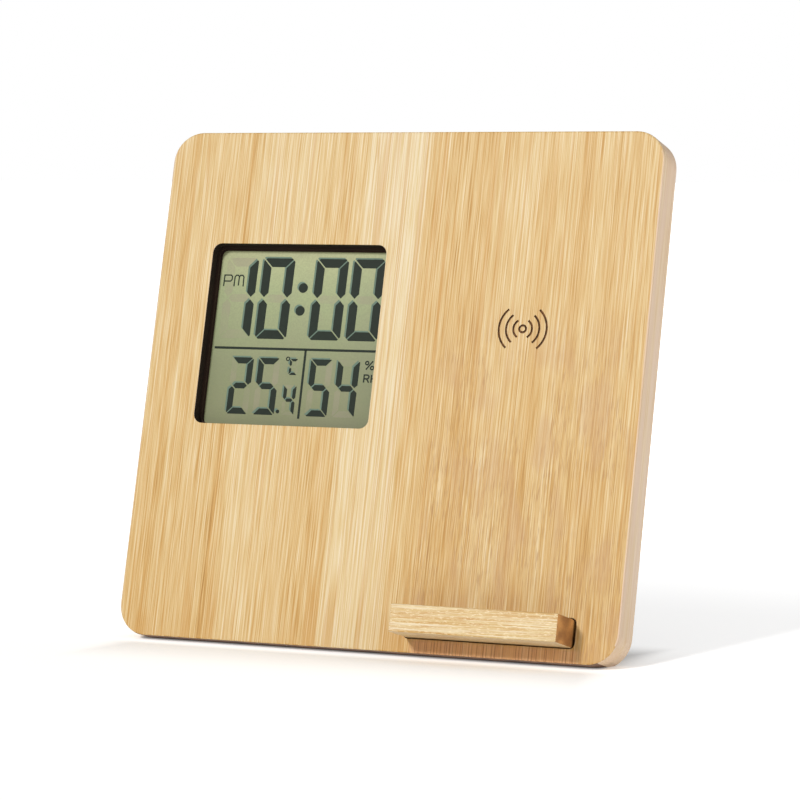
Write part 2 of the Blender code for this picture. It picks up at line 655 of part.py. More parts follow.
def make_rear_cover():
    outline = rounded_outline(
        REBATE_WIDTH - 2 * GAP, REBATE_HEIGHT - 2 * GAP, SHOULDER_CORNER_RADIUS - GAP,
    )
    cover = plate("rear_cover", outline, POCKET_CENTRE, COVER_INNER, REAR)
    rib = rounded_outline(POCKET_WIDTH - 2 * GAP, POCKET_HEIGHT - 2 * GAP, POCKET_CORNER_RADIUS - GAP)
    inset = 2 * (GAP + RIB_THICKNESS)
    inner = rounded_outline(
        POCKET_WIDTH - inset, POCKET_HEIGHT - inset, POCKET_CORNER_RADIUS - GAP - RIB_THICKNESS,
    )
    lap = COVER_INNER + COVER_THICKNESS / 2
    join(
        cover,
        plate("locating_rib", rib, POCKET_CENTRE, COVER_INNER - RIB_DEPTH, lap, holes=[inner]),
        block(
            "leg_tray", (CHANNEL_LEFT - CHANNEL_WALL, CHANNEL_RIGHT + CHANNEL_WALL),
            (CHANNEL_FRONT, lap), (POCKET_BOTTOM_RIM + GAP, CHANNEL_TOP + CHANNEL_WALL),
        ),
    )
    boss_left = CHANNEL_LEFT - CHANNEL_WALL - BOSS_LENGTH
    boss_right = CHANNEL_RIGHT + CHANNEL_WALL + BOSS_LENGTH
    boss_heights = (LEG_PIVOT_HEIGHT - BOSS_HALF_HEIGHT, LEG_PIVOT_HEIGHT + BOSS_HALF_HEIGHT)
    boss_front = PIVOT_DEPTH - PIN_RADIUS - PIN_CLEARANCE - BOSS_FRONT_WALL
    join(cover, block("pin_boss", (boss_left, boss_right), (boss_front, lap), boss_heights))
    for number, (x, height, held_depth) in enumerate(post_positions(), start=1):
        join(cover, rod("post_%d" % number, POST_RADIUS, (x, height), held_depth + GAP, lap, sides=16))
    cut(
        cover,
        block(
            "leg_channel", (CHANNEL_LEFT, CHANNEL_RIGHT), (CHANNEL_FLOOR, REAR + OVERCUT),
            (COVER_BOTTOM - OVERCUT, CHANNEL_TOP),
        ),
        rod(
            "pin_bore", PIN_RADIUS + PIN_CLEARANCE, (PIVOT_DEPTH, LEG_PIVOT_HEIGHT),
            boss_left + PIN_END_WALL, boss_right + OVERCUT, direction=SIDEWAYS,
        ),
        plate(
            "battery_opening", rounded_outline(DOOR_OPENING, DOOR_OPENING, DOOR_CORNER_RADIUS + GAP, 4),
            (CELL_CENTRE_X, CELL_CENTRE_HEIGHT), COVER_INNER - OVERCUT, REAR + OVERCUT,
        ),
        rod(
            "nail_notch", NAIL_NOTCH_RADIUS, (CELL_CENTRE_X, CELL_CENTRE_HEIGHT + DOOR_OPENING / 2),
            REAR - COVER_THICKNESS / 2, REAR + OVERCUT,
        ),
        plate(
            "socket_opening",
            rounded_outline(SOCKET_WIDTH + 2 * GAP, SOCKET_SECTION + 2 * GAP, SOCKET_END_RADIUS + GAP),
            (SOCKET_X, SOCKET_HEIGHT), COVER_INNER - OVERCUT, REAR + OVERCUT,
        ),
    )
    for number, height in enumerate(button_heights(), start=1):
        hole = rod(
            "button_hole_%d" % number, BUTTON_RADIUS + GAP, (BUTTON_X, height),
            COVER_INNER - OVERCUT, REAR + OVERCUT,
        )
        cut(cover, hole)
    for number in range(VENT_COUNT):
        x = SENSOR_X + (number - (VENT_COUNT - 1) / 2) * VENT_SPACING
        slot = block(
            "vent_slot_%d" % (number + 1), (x - VENT_WIDTH / 2, x + VENT_WIDTH / 2),
            (COVER_INNER - OVERCUT, REAR + OVERCUT),
            (SENSOR_HEIGHT - VENT_LENGTH / 2, SENSOR_HEIGHT + VENT_LENGTH / 2),
        )
        cut(cover, slot)
    for number, centre in enumerate(screw_positions(), start=1):
        cut(cover, countersunk_hole("screw_hole_%d" % number, centre))
    return as_part(cover, BLACK_PLASTIC)


def make_cover_screws():
    profile = [
        (0.0, 0.0), (SCREW_HEAD_RADIUS, 0.0), (SCREW_RADIUS, -SCREW_CONE_LENGTH),
        (SCREW_RADIUS, SCREW_TIP_LENGTH - SCREW_LENGTH), (0.0, -SCREW_LENGTH),
    ]
    for number, centre in enumerate(screw_positions(), start=1):
        screw = turned("cover_screw_%d" % number, profile, centre, REAR - GAP / 2, steps=SCREW_STEPS)
        as_part(screw, STEEL)


def make_leg():
    """Leg, pad and heel in the folded position; the pivot's rotation opens them."""
    pivot = new_empty(
        "leg_pivot", (LEG_CENTRE_X, PIVOT_DEPTH, LEG_PIVOT_HEIGHT), (LEG_OPEN_ANGLE, 0.0, 0.0), PANEL_FRAME,
    )
    wood_end = -(leg_reach(-LEG_HALF) - LEG_PAD_LENGTH)
    slope = math.tan(LEG_OPEN_ANGLE)
    stop_start = (LEG_HALF / math.cos(LEG_OPEN_ANGLE) - LEG_HALF) / slope
    heel_front = LEG_HEEL_LENGTH * slope - LEG_HALF / math.cos(LEG_OPEN_ANGLE)
    profile = [
        (-LEG_HALF, wood_end), (LEG_HALF, wood_end), (LEG_HALF, LEG_HEEL_LENGTH),
        (heel_front, LEG_HEEL_LENGTH), (-LEG_HALF, stop_start),
    ]
    bore = circle_outline(PIN_RADIUS + PIN_CLEARANCE)
    mesh = outline_mesh("rear_leg", [profile, bore], LEG_WIDTH, SIDE)
    as_part(new_object("rear_leg", mesh, (0.0, 0.0, 0.0)), BAMBOO, pivot)
    tip_front = -leg_reach(-LEG_HALF)
    tip_rear = -leg_reach(LEG_HALF)
    pad_top = wood_end - GAP
    pad = [(-LEG_HALF, pad_top), (-LEG_HALF, tip_front), (LEG_HALF, tip_rear), (LEG_HALF, pad_top)]
    mesh = outline_mesh("leg_pad", [pad], LEG_WIDTH, SIDE)
    as_part(new_object("leg_pad", mesh, (0.0, 0.0, 0.0)), RUBBER, pivot)


def make_leg_pin():
    reach = CHANNEL_HALF + CHANNEL_WALL + BOSS_LENGTH - PIN_END_WALL - GAP
    pin = rod(
        "leg_pin", PIN_RADIUS, (PIVOT_DEPTH, LEG_PIVOT_HEIGHT), LEG_CENTRE_X - reach,
        LEG_CENTRE_X + reach, direction=SIDEWAYS, sides=16,
    )
    as_part(pin, STEEL)


def make_display():
    centre = (WINDOW_CENTRE_X, WINDOW_CENTRE_HEIGHT)
    frame = plate(
        "lcd_frame", rounded_outline(FRAME_WIDTH, FRAME_HEIGHT, 2 * FRAME_WALL), centre,
        FRAME_FRONT, FRAME_FRONT + FRAME_DEPTH,
    )
    seat = rounded_outline(GLASS_WIDTH + 2 * GAP, GLASS_HEIGHT + 2 * GAP, FRAME_WALL)
    view = rounded_outline(
        WINDOW_WIDTH - 2 * DISPLAY_REVEAL, WINDOW_HEIGHT - 2 * DISPLAY_REVEAL,
        WINDOW_CORNER_RADIUS - DISPLAY_REVEAL,
    )
    frame_rear = FRAME_FRONT + FRAME_DEPTH + OVERCUT
    frame_bottom = WINDOW_CENTRE_HEIGHT - FRAME_HEIGHT / 2
    glass_bottom = WINDOW_CENTRE_HEIGHT - GLASS_HEIGHT / 2
    half_ribbon = RIBBON_WIDTH / 2 + GAP
    cut(
        frame,
        plate("glass_seat", seat, centre, FRAME_FRONT + FRAME_FRONT_LIP, frame_rear),
        plate("view_opening", view, centre, FRAME_FRONT - OVERCUT, frame_rear),
        block(
            "ribbon_notch", (RIBBON_CENTRE_X - half_ribbon, RIBBON_CENTRE_X + half_ribbon),
            (GLASS_STEP, frame_rear), (frame_bottom - OVERCUT, glass_bottom),
        ),
    )
    as_part(frame, BLACK_PLASTIC)
    glass = rounded_outline(GLASS_WIDTH, GLASS_HEIGHT, FRAME_WALL / 2, steps=2)
    cell = plate("lcd_cell", glass, centre, GLASS_FRONT, GLASS_STEP)
    half = GLASS_WIDTH / 2
    rear_glass = block(
        "rear_glass", (WINDOW_CENTRE_X - half, WINDOW_CENTRE_X + half),
        (GLASS_STEP - GLASS_SHEET / 2, GLASS_REAR),
        (glass_bottom + CONTACT_LEDGE, glass_bottom + GLASS_HEIGHT),
    )
    join(cell, rear_glass)
    as_part(cell, DISPLAY)
    make_display_ribbon(glass_bottom)


def make_display_ribbon(glass_bottom):
    upper = GLASS_STEP + GAP + RIBBON_THICKNESS / 2
    lower = ON_BOARD + RIBBON_THICKNESS / 2
    path = [
        (upper, glass_bottom + CONTACT_LEDGE - GAP),
        (upper, glass_bottom - FRAME_WALL),
        ((upper + lower) / 2, (glass_bottom + CLOCK_BOARD_TOP) / 2 - GAP),
        (lower, CLOCK_BOARD_TOP - GAP),
        (lower, CLOCK_BOARD_TOP - CONTACT_LEDGE),
    ]
    ribbon = strip(
        "lcd_ribbon", path, RIBBON_WIDTH, RIBBON_THICKNESS, SIDE, (RIBBON_CENTRE_X, 0.0, 0.0),
    )
    as_part(ribbon, FILM)


def make_board(name, left, right, bottom, top):
    outline = rounded_outline(right - left, top - bottom, BOARD_CORNER_RADIUS, steps=3)
    centre = ((left + right) / 2, (bottom + top) / 2)
    as_part(plate(name, outline, centre, BOARD_FRONT, BOARD_REAR), BOARD)


def make_clock_electronics():
    make_board("clock_board", CLOCK_BOARD_LEFT, CLOCK_BOARD_RIGHT, CLOCK_BOARD_BOTTOM, CLOCK_BOARD_TOP)
    dome = [(0.0, CHIP_DOME)]
    for step in range(1, DOME_STEPS):
        angle = math.pi / 2 * (1 - step / DOME_STEPS)
        dome.append((CHIP_RADIUS * math.cos(angle), CHIP_DOME * math.sin(angle)))
    dome.extend([(CHIP_RADIUS, CHIP_EDGE), (CHIP_RADIUS, 0.0), (0.0, 0.0)])
    as_part(turned("clock_chip", dome, (CHIP_X, CHIP_HEIGHT), ON_BOARD), RESIN)
    half = SENSOR_SIZE / 2
    sensor = block(
        "humidity_sensor", (SENSOR_X - half, SENSOR_X + half), (ON_BOARD, ON_BOARD + SENSOR_THICKNESS),
        (SENSOR_HEIGHT - half, SENSOR_HEIGHT + half),
    )
    port_floor = ON_BOARD + SENSOR_THICKNESS / 2
    port = rod(
        "sensor_port", SENSOR_PORT_RADIUS, (SENSOR_X, SENSOR_HEIGHT), port_floor,
        ON_BOARD + SENSOR_THICKNESS + OVERCUT, sides=16,
    )
    cut(sensor, port)
    as_part(sensor, WHITE_PLASTIC)


def make_battery():
    centre = (CELL_CENTRE_X, CELL_CENTRE_HEIGHT)
    inner = CELL_RADIUS + GAP
    outer = inner + HOLDER_WALL
    cup = [
        (0.0, HOLDER_BASE), (inner, HOLDER_BASE), (inner, HOLDER_WALL_HEIGHT),
        (outer, HOLDER_WALL_HEIGHT), (outer, 0.0), (0.0, 0.0),
    ]
    holder = turned("battery_holder", cup, centre, ON_BOARD, steps=32)
    half_slot = CONTACT_WIDTH / 2 + GAP
    contact_slot = block(
        "contact_slot", (CELL_CENTRE_X + CELL_RADIUS, CELL_CENTRE_X + outer + OVERCUT),
        (ON_BOARD - OVERCUT, ON_BOARD + HOLDER_WALL_HEIGHT + OVERCUT),
        (CELL_CENTRE_HEIGHT - half_slot, CELL_CENTRE_HEIGHT + half_slot),
    )
    cut(holder, contact_slot)
    as_part(holder, BLACK_PLASTIC)
    can = [
        (0.0, CELL_THICKNESS), (CELL_RADIUS - CELL_RIM, CELL_THICKNESS),
        (CELL_RADIUS, CELL_THICKNESS - CELL_RIM), (CELL_RADIUS, CELL_CAP_DEPTH),
        (CELL_CAP_RADIUS, CELL_CAP_DEPTH), (CELL_CAP_RADIUS, 0.0), (0.0, 0.0),
    ]
    cell_front = ON_BOARD + HOLDER_BASE + GAP
    as_part(turned("coin_cell", can, centre, cell_front, steps=32), STEEL)
    side = CELL_CENTRE_X + CELL_RADIUS + GAP + CONTACT_THICKNESS / 2
    foot = ON_BOARD + CONTACT_THICKNESS / 2
    top = cell_front + CELL_THICKNESS - GAP
    path = [
        (side + 2 * HOLDER_WALL, foot), (side, foot), (side, top - HOLDER_WALL / 2),
        (side + HOLDER_WALL / 2, top),
    ]
    contact = strip(
        "battery_contact", path, CONTACT_WIDTH, CONTACT_THICKNESS, Matrix.Identity(4),
        (0.0, 0.0, CELL_CENTRE_HEIGHT),
    )
    as_part(contact, STEEL)


def make_battery_door():
    """The door turns on the outer line of its lower edge, where its object has its origin."""
    outline = rounded_outline(DOOR_SIZE, DOOR_SIZE, DOOR_CORNER_RADIUS, steps=4)
    mesh = outline_mesh("battery_door", [outline], COVER_THICKNESS, FACE)
    mesh.transform(Matrix.Translation((0.0, -COVER_THICKNESS / 2, DOOR_SIZE / 2)))
    door = new_object("battery_door", mesh, (CELL_CENTRE_X, REAR, DOOR_HINGE_HEIGHT))
    tab_rear = COVER_INNER - GAP
    tab_front = tab_rear - TAB_THICKNESS
    neck_top = DOOR_HINGE_HEIGHT + TAB_THICKNESS
    for label, x in (("left", CELL_CENTRE_X - TAB_OFFSET), ("right", CELL_CENTRE_X + TAB_OFFSET)):
        limits = (x - TAB_WIDTH / 2, x + TAB_WIDTH / 2)
        join(
            door,
            block(
                "neck_" + label, limits, (tab_front, COVER_INNER + GAP),
                (DOOR_HINGE_HEIGHT, neck_top),
            ),
            block(
                "tab_" + label, limits, (tab_front, tab_rear),
                (DOOR_HINGE_HEIGHT - GAP - TAB_REACH, neck_top - GAP / 2),
            ),
        )
    latch_top = DOOR_HINGE_HEIGHT + DOOR_SIZE - GAP
    latch = block(
        "latch", (CELL_CENTRE_X - LATCH_WIDTH / 2, CELL_CENTRE_X + LATCH_WIDTH / 2),
        (COVER_INNER - LATCH_DEPTH, COVER_INNER + GAP), (latch_top - LATCH_THICKNESS, latch_top),
    )
    join(door, latch)
    return as_part(door, BLACK_PLASTIC)


def make_buttons():
    plunger_top = ON_BOARD + SWITCH_BODY + SWITCH_PLUNGER
    flange_front = COVER_INNER - GAP - BUTTON_FLANGE
    cap_rear = REAR + BUTTON_PROUD
    stem = flange_front - (plunger_top + BUTTON_TRAVEL + PRESS_CLEARANCE)
    length = cap_rear - flange_front
    for name, height in zip(BUTTON_NAMES, button_heights()):
        profile = [
            (0.0, length), (BUTTON_RADIUS - BUTTON_ROUNDING, length),
            (BUTTON_RADIUS, length - BUTTON_ROUNDING), (BUTTON_RADIUS, BUTTON_FLANGE),
            (BUTTON_FLANGE_RADIUS, BUTTON_FLANGE),
            (BUTTON_FLANGE_RADIUS, 0.0), (SWITCH_PLUNGER_RADIUS, 0.0), (SWITCH_PLUNGER_RADIUS, -stem),
            (0.0, -stem),
        ]
        as_part(turned(name, profile, (BUTTON_X, height), flange_front), GREY_PLASTIC)
        half = SWITCH_SIZE / 2
        switch = block(
            name.replace("button", "switch"), (BUTTON_X - half, BUTTON_X + half),
            (ON_BOARD, ON_BOARD + SWITCH_BODY), (height - half, height + half),
        )
        plunger = rod(
            name.replace("button", "plunger"), SWITCH_PLUNGER_RADIUS, (BUTTON_X, height),
            ON_BOARD + SWITCH_BODY / 2, plunger_top, sides=16,
        )
        join(switch, plunger)
        as_part(switch, BLACK_PLASTIC)


def coil_path():
    """Wire of the coil in the panel's frame: up from the board, round the flat spiral and back down."""
    board_end = CHARGER_BOARD_TOP - 3 * COIL_WIRE_RADIUS
    inner_x = COIL_CENTRE_X - LEAD_OFFSET
    bridge = FERRITE_FRONT + 2 * COIL_WIRE_RADIUS
    lead = [
        (inner_x, LEAD_DEPTH, board_end - 4 * COIL_WIRE_RADIUS),
        (inner_x, LEAD_DEPTH, board_end),
        (inner_x, bridge, COIL_CENTRE_HEIGHT - COIL_OUTER_RADIUS),
        (inner_x, bridge, COIL_CENTRE_HEIGHT - LEAD_RISE),
        (inner_x, (bridge + COIL_DEPTH) / 2, COIL_CENTRE_HEIGHT - LEAD_RISE + LEAD_BEND),
        (inner_x, COIL_DEPTH, COIL_CENTRE_HEIGHT - LEAD_RISE + 2 * LEAD_BEND),
    ]
    spiral = []
    for step in range(round(COIL_TURNS * COIL_POINTS_PER_TURN) + 1):
        turn = step / COIL_POINTS_PER_TURN
        angle = math.pi - 2 * math.pi * turn
        radius = COIL_INNER_RADIUS + COIL_PITCH * turn
        x = COIL_CENTRE_X + radius * math.cos(angle)
        spiral.append((x, COIL_DEPTH, COIL_CENTRE_HEIGHT + radius * math.sin(angle)))
    outer_x = COIL_CENTRE_X + COIL_OUTER_RADIUS
    tail = [
        (outer_x, COIL_DEPTH, COIL_CENTRE_HEIGHT - FERRITE_SIZE / 2 - GAP),
        (outer_x, LEAD_DEPTH, board_end),
        (outer_x, LEAD_DEPTH, board_end - 4 * COIL_WIRE_RADIUS),
    ]
    return lead + spiral + tail


def least_gap(points, radius):
    """Least clear distance between lengths of the wire that lie several diameters apart along it."""
    samples = []
    travelled = 0.0
    for start, end in zip(points, points[1:]):
        start, end = Vector(start), Vector(end)
        length = (end - start).length
        count = max(1, round(length / radius))
        for step in range(count):
            samples.append((travelled + length * step / count, start.lerp(end, step / count)))
        travelled += length
    least = travelled
    for index, (here, place) in enumerate(samples):
        for there, other in samples[index + 1:]:
            if there - here > 8 * radius:
                least = min(least, (place - other).length)
    return least - 2 * radius


def make_charger():
    curve = bpy.data.curves.new("charging_coil", "CURVE")
    curve.dimensions = "3D"
    curve.bevel_depth = COIL_WIRE_RADIUS
    curve.bevel_resolution = 1
    curve.use_fill_caps = True
    points = coil_path()
    print("least gap of the coil's wire to itself: %.2f mm" % (1000 * least_gap(points, COIL_WIRE_RADIUS)))
    spline = curve.splines.new("POLY")
    spline.points.add(len(points) - 1)
    for point, place in zip(spline.points, points):
        point.co = (*place, 1.0)
    mesh = welded_mesh("charging_coil", curve, Matrix.Identity(4))
    as_part(new_object("charging_coil", mesh, (0.0, 0.0, 0.0)), COPPER)
    outline = rounded_outline(FERRITE_SIZE, FERRITE_SIZE, BOARD_CORNER_RADIUS, steps=3)
    centre = (COIL_CENTRE_X, COIL_CENTRE_HEIGHT)
    ferrite = plate("ferrite_sheet", outline, centre, FERRITE_FRONT, FERRITE_REAR)
    slot_x = COIL_CENTRE_X - LEAD_OFFSET
    lead_slot_top = COIL_CENTRE_HEIGHT - LEAD_RISE + 2 * LEAD_BEND + COIL_WIRE_RADIUS + GAP
    lead_slot = block(
        "lead_slot", (slot_x - FERRITE_SLOT_WIDTH / 2, slot_x + FERRITE_SLOT_WIDTH / 2),
        (FERRITE_FRONT - OVERCUT, FERRITE_REAR + OVERCUT),
        (COIL_CENTRE_HEIGHT - FERRITE_SIZE, lead_slot_top),
    )
    cut(ferrite, lead_slot)
    as_part(ferrite, FERRITE)
    make_board(
        "charger_board", CHARGER_BOARD_LEFT, CHARGER_BOARD_RIGHT, CHARGER_BOARD_BOTTOM, CHARGER_BOARD_TOP,
    )
    half = POWER_CHIP_SIZE / 2
    chip = block(
        "power_chip", (POWER_CHIP_X - half, POWER_CHIP_X + half),
        (ON_BOARD, ON_BOARD + POWER_CHIP_THICKNESS), (POWER_CHIP_HEIGHT - half, POWER_CHIP_HEIGHT + half),
    )
    as_part(chip, RESIN)
    make_power_socket()


def make_power_socket():
    centre = (SOCKET_X, SOCKET_HEIGHT)
    shell = rounded_outline(SOCKET_WIDTH, SOCKET_SECTION, SOCKET_END_RADIUS)
    walls = 2 * SOCKET_WALL
    mouth = rounded_outline(SOCKET_WIDTH - walls, SOCKET_SECTION - walls, SOCKET_END_RADIUS - SOCKET_WALL)
    socket = plate("usb_socket", shell, centre, ON_BOARD, REAR)
    floor_depth = ON_BOARD + SOCKET_BASE
    cut(socket, plate("socket_mouth", mouth, centre, floor_depth, REAR + OVERCUT))
    tongue = block(
        "socket_tongue", (SOCKET_X - TONGUE_WIDTH / 2, SOCKET_X + TONGUE_WIDTH / 2),
        (floor_depth - SOCKET_BASE / 2, REAR - TONGUE_SETBACK),
        (SOCKET_HEIGHT - TONGUE_THICKNESS / 2, SOCKET_HEIGHT + TONGUE_THICKNESS / 2),
    )
    join(socket, tongue)
    as_part(socket, STEEL)


clear_scene()
PARTS = new_collection("weather_station")
CUTTERS = new_collection("cutters")

BAMBOO = new_material("bamboo", (0.79, 0.55, 0.29), 0.55)
BAMBOO_END = new_material("bamboo_cross_grain", (0.75, 0.52, 0.28), 0.6)
BLACK_PLASTIC = new_material("black_plastic", (0.02, 0.02, 0.022), 0.5)
GREY_PLASTIC = new_material("grey_plastic", (0.16, 0.16, 0.17), 0.45)
WHITE_PLASTIC = new_material("white_plastic", (0.8, 0.8, 0.78), 0.5)
DISPLAY = new_material("display_glass", (0.36, 0.40, 0.24), 0.25)
FILM = new_material("printed_film", (0.45, 0.30, 0.12), 0.4)
BOARD = new_material("circuit_board", (0.03, 0.16, 0.07), 0.45)
RESIN = new_material("black_resin", (0.012, 0.012, 0.013), 0.35)
FERRITE = new_material("ferrite", (0.05, 0.05, 0.055), 0.7)
COPPER = new_material("copper_wire", (0.72, 0.33, 0.14), 0.35, 1.0)
STEEL = new_material("steel", (0.60, 0.60, 0.60), 0.3, 1.0)
RUBBER = new_material("rubber", (0.03, 0.03, 0.03), 0.85)

PANEL_FRAME = new_empty("panel_frame", (0.0, PANEL_SHIFT, PANEL_RISE), (-LEAN_ANGLE, 0.0, 0.0))

make_front_panel()
make_phone_ledge()
make_rear_cover()
make_cover_screws()
make_leg()
make_leg_pin()
make_display()
make_clock_electronics()
make_battery()
make_battery_door()
make_buttons()
make_charger()
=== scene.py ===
"""Desk weather station: the finish of every surface, the display's segments and the small details.

Lengths are in metres, +Z is up. The panel leans back, so most places are given on the panel:
across it to the right, depth back from its front face, and height up its face. Areas of the panel,
marks on the display, the patterns in the materials and what a comment says are in millimetres.
"""

import math

import bmesh
import bpy
from mathutils import Matrix, Vector


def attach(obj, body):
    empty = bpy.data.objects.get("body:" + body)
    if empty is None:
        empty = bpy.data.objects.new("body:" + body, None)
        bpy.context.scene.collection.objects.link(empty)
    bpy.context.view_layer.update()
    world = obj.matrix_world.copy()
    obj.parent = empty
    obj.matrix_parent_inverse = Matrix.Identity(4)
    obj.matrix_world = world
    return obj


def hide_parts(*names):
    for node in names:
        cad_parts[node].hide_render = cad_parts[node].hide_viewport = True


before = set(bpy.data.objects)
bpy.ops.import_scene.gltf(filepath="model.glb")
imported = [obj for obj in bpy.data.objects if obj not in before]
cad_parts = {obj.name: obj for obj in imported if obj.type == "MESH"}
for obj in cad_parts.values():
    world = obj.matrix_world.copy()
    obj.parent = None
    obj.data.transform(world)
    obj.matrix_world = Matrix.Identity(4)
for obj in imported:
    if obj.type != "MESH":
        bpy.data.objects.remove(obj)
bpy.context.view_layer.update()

MM = 0.001

# The panel: its lean, the middle of its lower front edge, and its size
LEAN = math.radians(15.0)
PANEL_FOOT = Vector((0.0, -0.0208988, 0.0014753))
PANEL_TURN = Matrix.Rotation(-LEAN, 3, "X")
TO_PANEL = PANEL_TURN.inverted()
PANEL_WIDTH = 0.154
PANEL_HEIGHT = 0.150
LEG_OPEN = math.radians(27.0)

# Areas of the panel in millimetres: left, right, bottom and top
WINDOW = (-61.0, -4.0, 62.0, 117.0)
SLOT = (12.0, 64.5, 3.0, 13.5)
WHOLE_PANEL = (-80.0, 80.0, 0.0, 152.0)


def on_panel(across, depth, height):
    """The place in the room of a point given on the panel."""
    return PANEL_FOOT + PANEL_TURN @ Vector((across, depth, height))


def to_panel(place):
    """The place on the panel of a point given in the room."""
    return TO_PANEL @ (place - PANEL_FOOT)


def linear(red, green, blue):
    """A colour from its screen values, 0 to 255, as the shader takes it."""
    parts = []
    for value in (red, green, blue):
        share = value / 255
        parts.append(share / 12.92 if share <= 0.04045 else ((share + 0.055) / 1.055) ** 2.4)
    return (*parts, 1.0)


def scaled_colour(colour, factor, added=0.0):
    """A colour in screen values, made lighter or darker."""
    return tuple(min(255, value * factor + added) for value in colour)


# Materials


class Paint:
    """One material, built a node at a time."""

    def __init__(self, name, roughness=0.5, metallic=0.0):
        self.material = bpy.data.materials.new(name)
        self.material.use_nodes = True
        self.nodes = self.material.node_tree.nodes
        self.links = self.material.node_tree.links
        self.shader = self.nodes["Principled BSDF"]
        self.set("Roughness", roughness)
        self.set("Metallic", metallic)

    def feed(self, socket, value):
        if isinstance(value, bpy.types.NodeSocket):
            self.links.new(value, socket)
        else:
            socket.default_value = value

    def set(self, socket, value):
        self.feed(self.shader.inputs[socket], value)

    def node(self, kind, inputs, output=0, **settings):
        node = self.nodes.new("ShaderNode" + kind)
        for setting, value in settings.items():
            setattr(node, setting, value)
        for key, value in inputs.items():
            self.feed(node.inputs[key], value)
        return node.outputs[output]

    def place(self, lean=LEAN):
        """Where a point lies on the panel, in millimetres: across, depth, height.

        Another lean gives the same for a piece that leans otherwise, such as the leg.
        """
        foot = Matrix.Rotation(lean, 3, "X") @ PANEL_FOOT
        room = self.node("TexCoord", {}, output="Object")
        return self.node("Mapping", {
            "Vector": room,
            "Location": [-value / MM for value in foot],
            "Rotation": (lean, 0.0, 0.0),
            "Scale": (1 / MM, 1 / MM, 1 / MM),
        })

    def parts(self, vector):
        """The three parts of a vector."""
        split = self.nodes.new("ShaderNodeSeparateXYZ")
        self.feed(split.inputs[0], vector)
        return split.outputs

    def joined(self, x, y, z):
        return self.node("CombineXYZ", {"X": x, "Y": y, "Z": z})

    def noise(self, vector, per_mm, detail=2.0, roughness=0.5, shift=(0.0, 0.0, 0.0)):
        """Soft random values about 0.5; per_mm says how fast they change along each axis."""
        scaled = self.node("Mapping", {"Vector": vector, "Scale": per_mm, "Location": shift})
        return self.node("TexNoise", {
            "Vector": scaled, "Scale": 1.0, "Detail": detail, "Roughness": roughness,
        })

    def math(self, operation, first, second=0.0):
        return self.node("Math", {0: first, 1: second}, operation=operation)

    def times(self, first, second):
        return self.math("MULTIPLY", first, second)

    def about_middle(self, noise):
        """A noise's values, less their middle."""
        return self.math("SUBTRACT", noise, 0.5)

    def spread(self, value, low, high, new_low=0.0, new_high=1.0, smooth=True):
        """value taken from the range low to high to a new range, and held there."""
        kind = "SMOOTHSTEP" if smooth else "LINEAR"
        return self.node("MapRange", {
            "Value": value, "From Min": low, "From Max": high, "To Min": new_low, "To Max": new_high,
        }, interpolation_type=kind)

    def thin_lines(self, noise, core, edge, strength):
        """Lines where a noise passes its middle, full up to core from it and gone at edge."""
        away = self.math("ABSOLUTE", self.about_middle(noise))
        return self.spread(away, core, edge, strength, 0.0)

    def ramp(self, value, stops):
        """A colour or a grey from a value; stops are (value, colour)."""
        node = self.nodes.new("ShaderNodeValToRGB")
        self.feed(node.inputs[0], value)
        marks = node.color_ramp.elements
        while len(marks) < len(stops):
            marks.new(1.0)
        for mark, (position, colour) in zip(marks, stops):
            mark.position = position
            mark.color = colour if isinstance(colour, tuple) else (colour, colour, colour, 1.0)
        return node.outputs[0]

    def mix(self, share, first, second, blend="MIX"):
        node = self.nodes.new("ShaderNodeMix")
        node.data_type = "RGBA"
        node.blend_type = blend
        self.feed(node.inputs["Factor"], share)
        self.feed(node.inputs[6], first)
        self.feed(node.inputs[7], second)
        return node.outputs[2]

    def bump(self, height, depth, strength):
        """A bump of a depth in millimetres."""
        normal = self.node("Bump", {"Height": height, "Distance": depth * MM, "Strength": strength})
        self.set("Normal", normal)


# Tone of the panel's strips from left to right: (millimetres across, tone), 0 deep and 1 pale
STRIP_TONES = (
    (-77, 0.54), (-71.5, 0.52), (-69.8, 0.30), (-68, 0.54), (-52, 0.50), (-50.5, 0.24), (-49, 0.56),
    (-42, 0.64), (-30, 0.60), (-22, 0.50), (-13.6, 0.48), (-13.0, 0.74), (0, 0.80), (5.6, 0.74),
    (6.4, 0.48), (16, 0.42), (24, 0.36), (31, 0.54), (38, 0.54), (43, 0.44), (52, 0.50), (53, 0.38),
    (58, 0.46), (62, 0.52), (64, 0.36), (67, 0.50), (69, 0.40), (73, 0.50), (77, 0.42),
)

# Bamboo's colours by tone, and the colour of its dark lines
BAMBOO_TONES = (
    (0.10, linear(163, 117, 50)), (0.32, linear(186, 146, 86)), (0.52, linear(197, 165, 113)),
    (0.72, linear(203, 178, 134)), (0.95, linear(207, 188, 154)),
)
BAMBOO_LINE = linear(178, 126, 50)

# What the finest fibres multiply the colour by, from dark to pale
FIBRE_DARK = (0.82, 0.79, 0.56, 1.0)
FIBRE_PALE = (1.18, 1.27, 1.50, 1.0)

# How far fibres wander sideways, in millimetres, and how much each layer of them changes the tone
WANDER = 0.8
BROAD_WEIGHT = 0.24
STREAK_WEIGHT = 0.14
FIBRE_WEIGHT = 0.34
HAIR_WEIGHT = 1.15

# Tone of the other bamboo surfaces
SIDE_TONE = 0.62
LEG_TONE = 0.5
LEDGE_TONE = 0.74
LEDGE_CONTRAST = 1.2


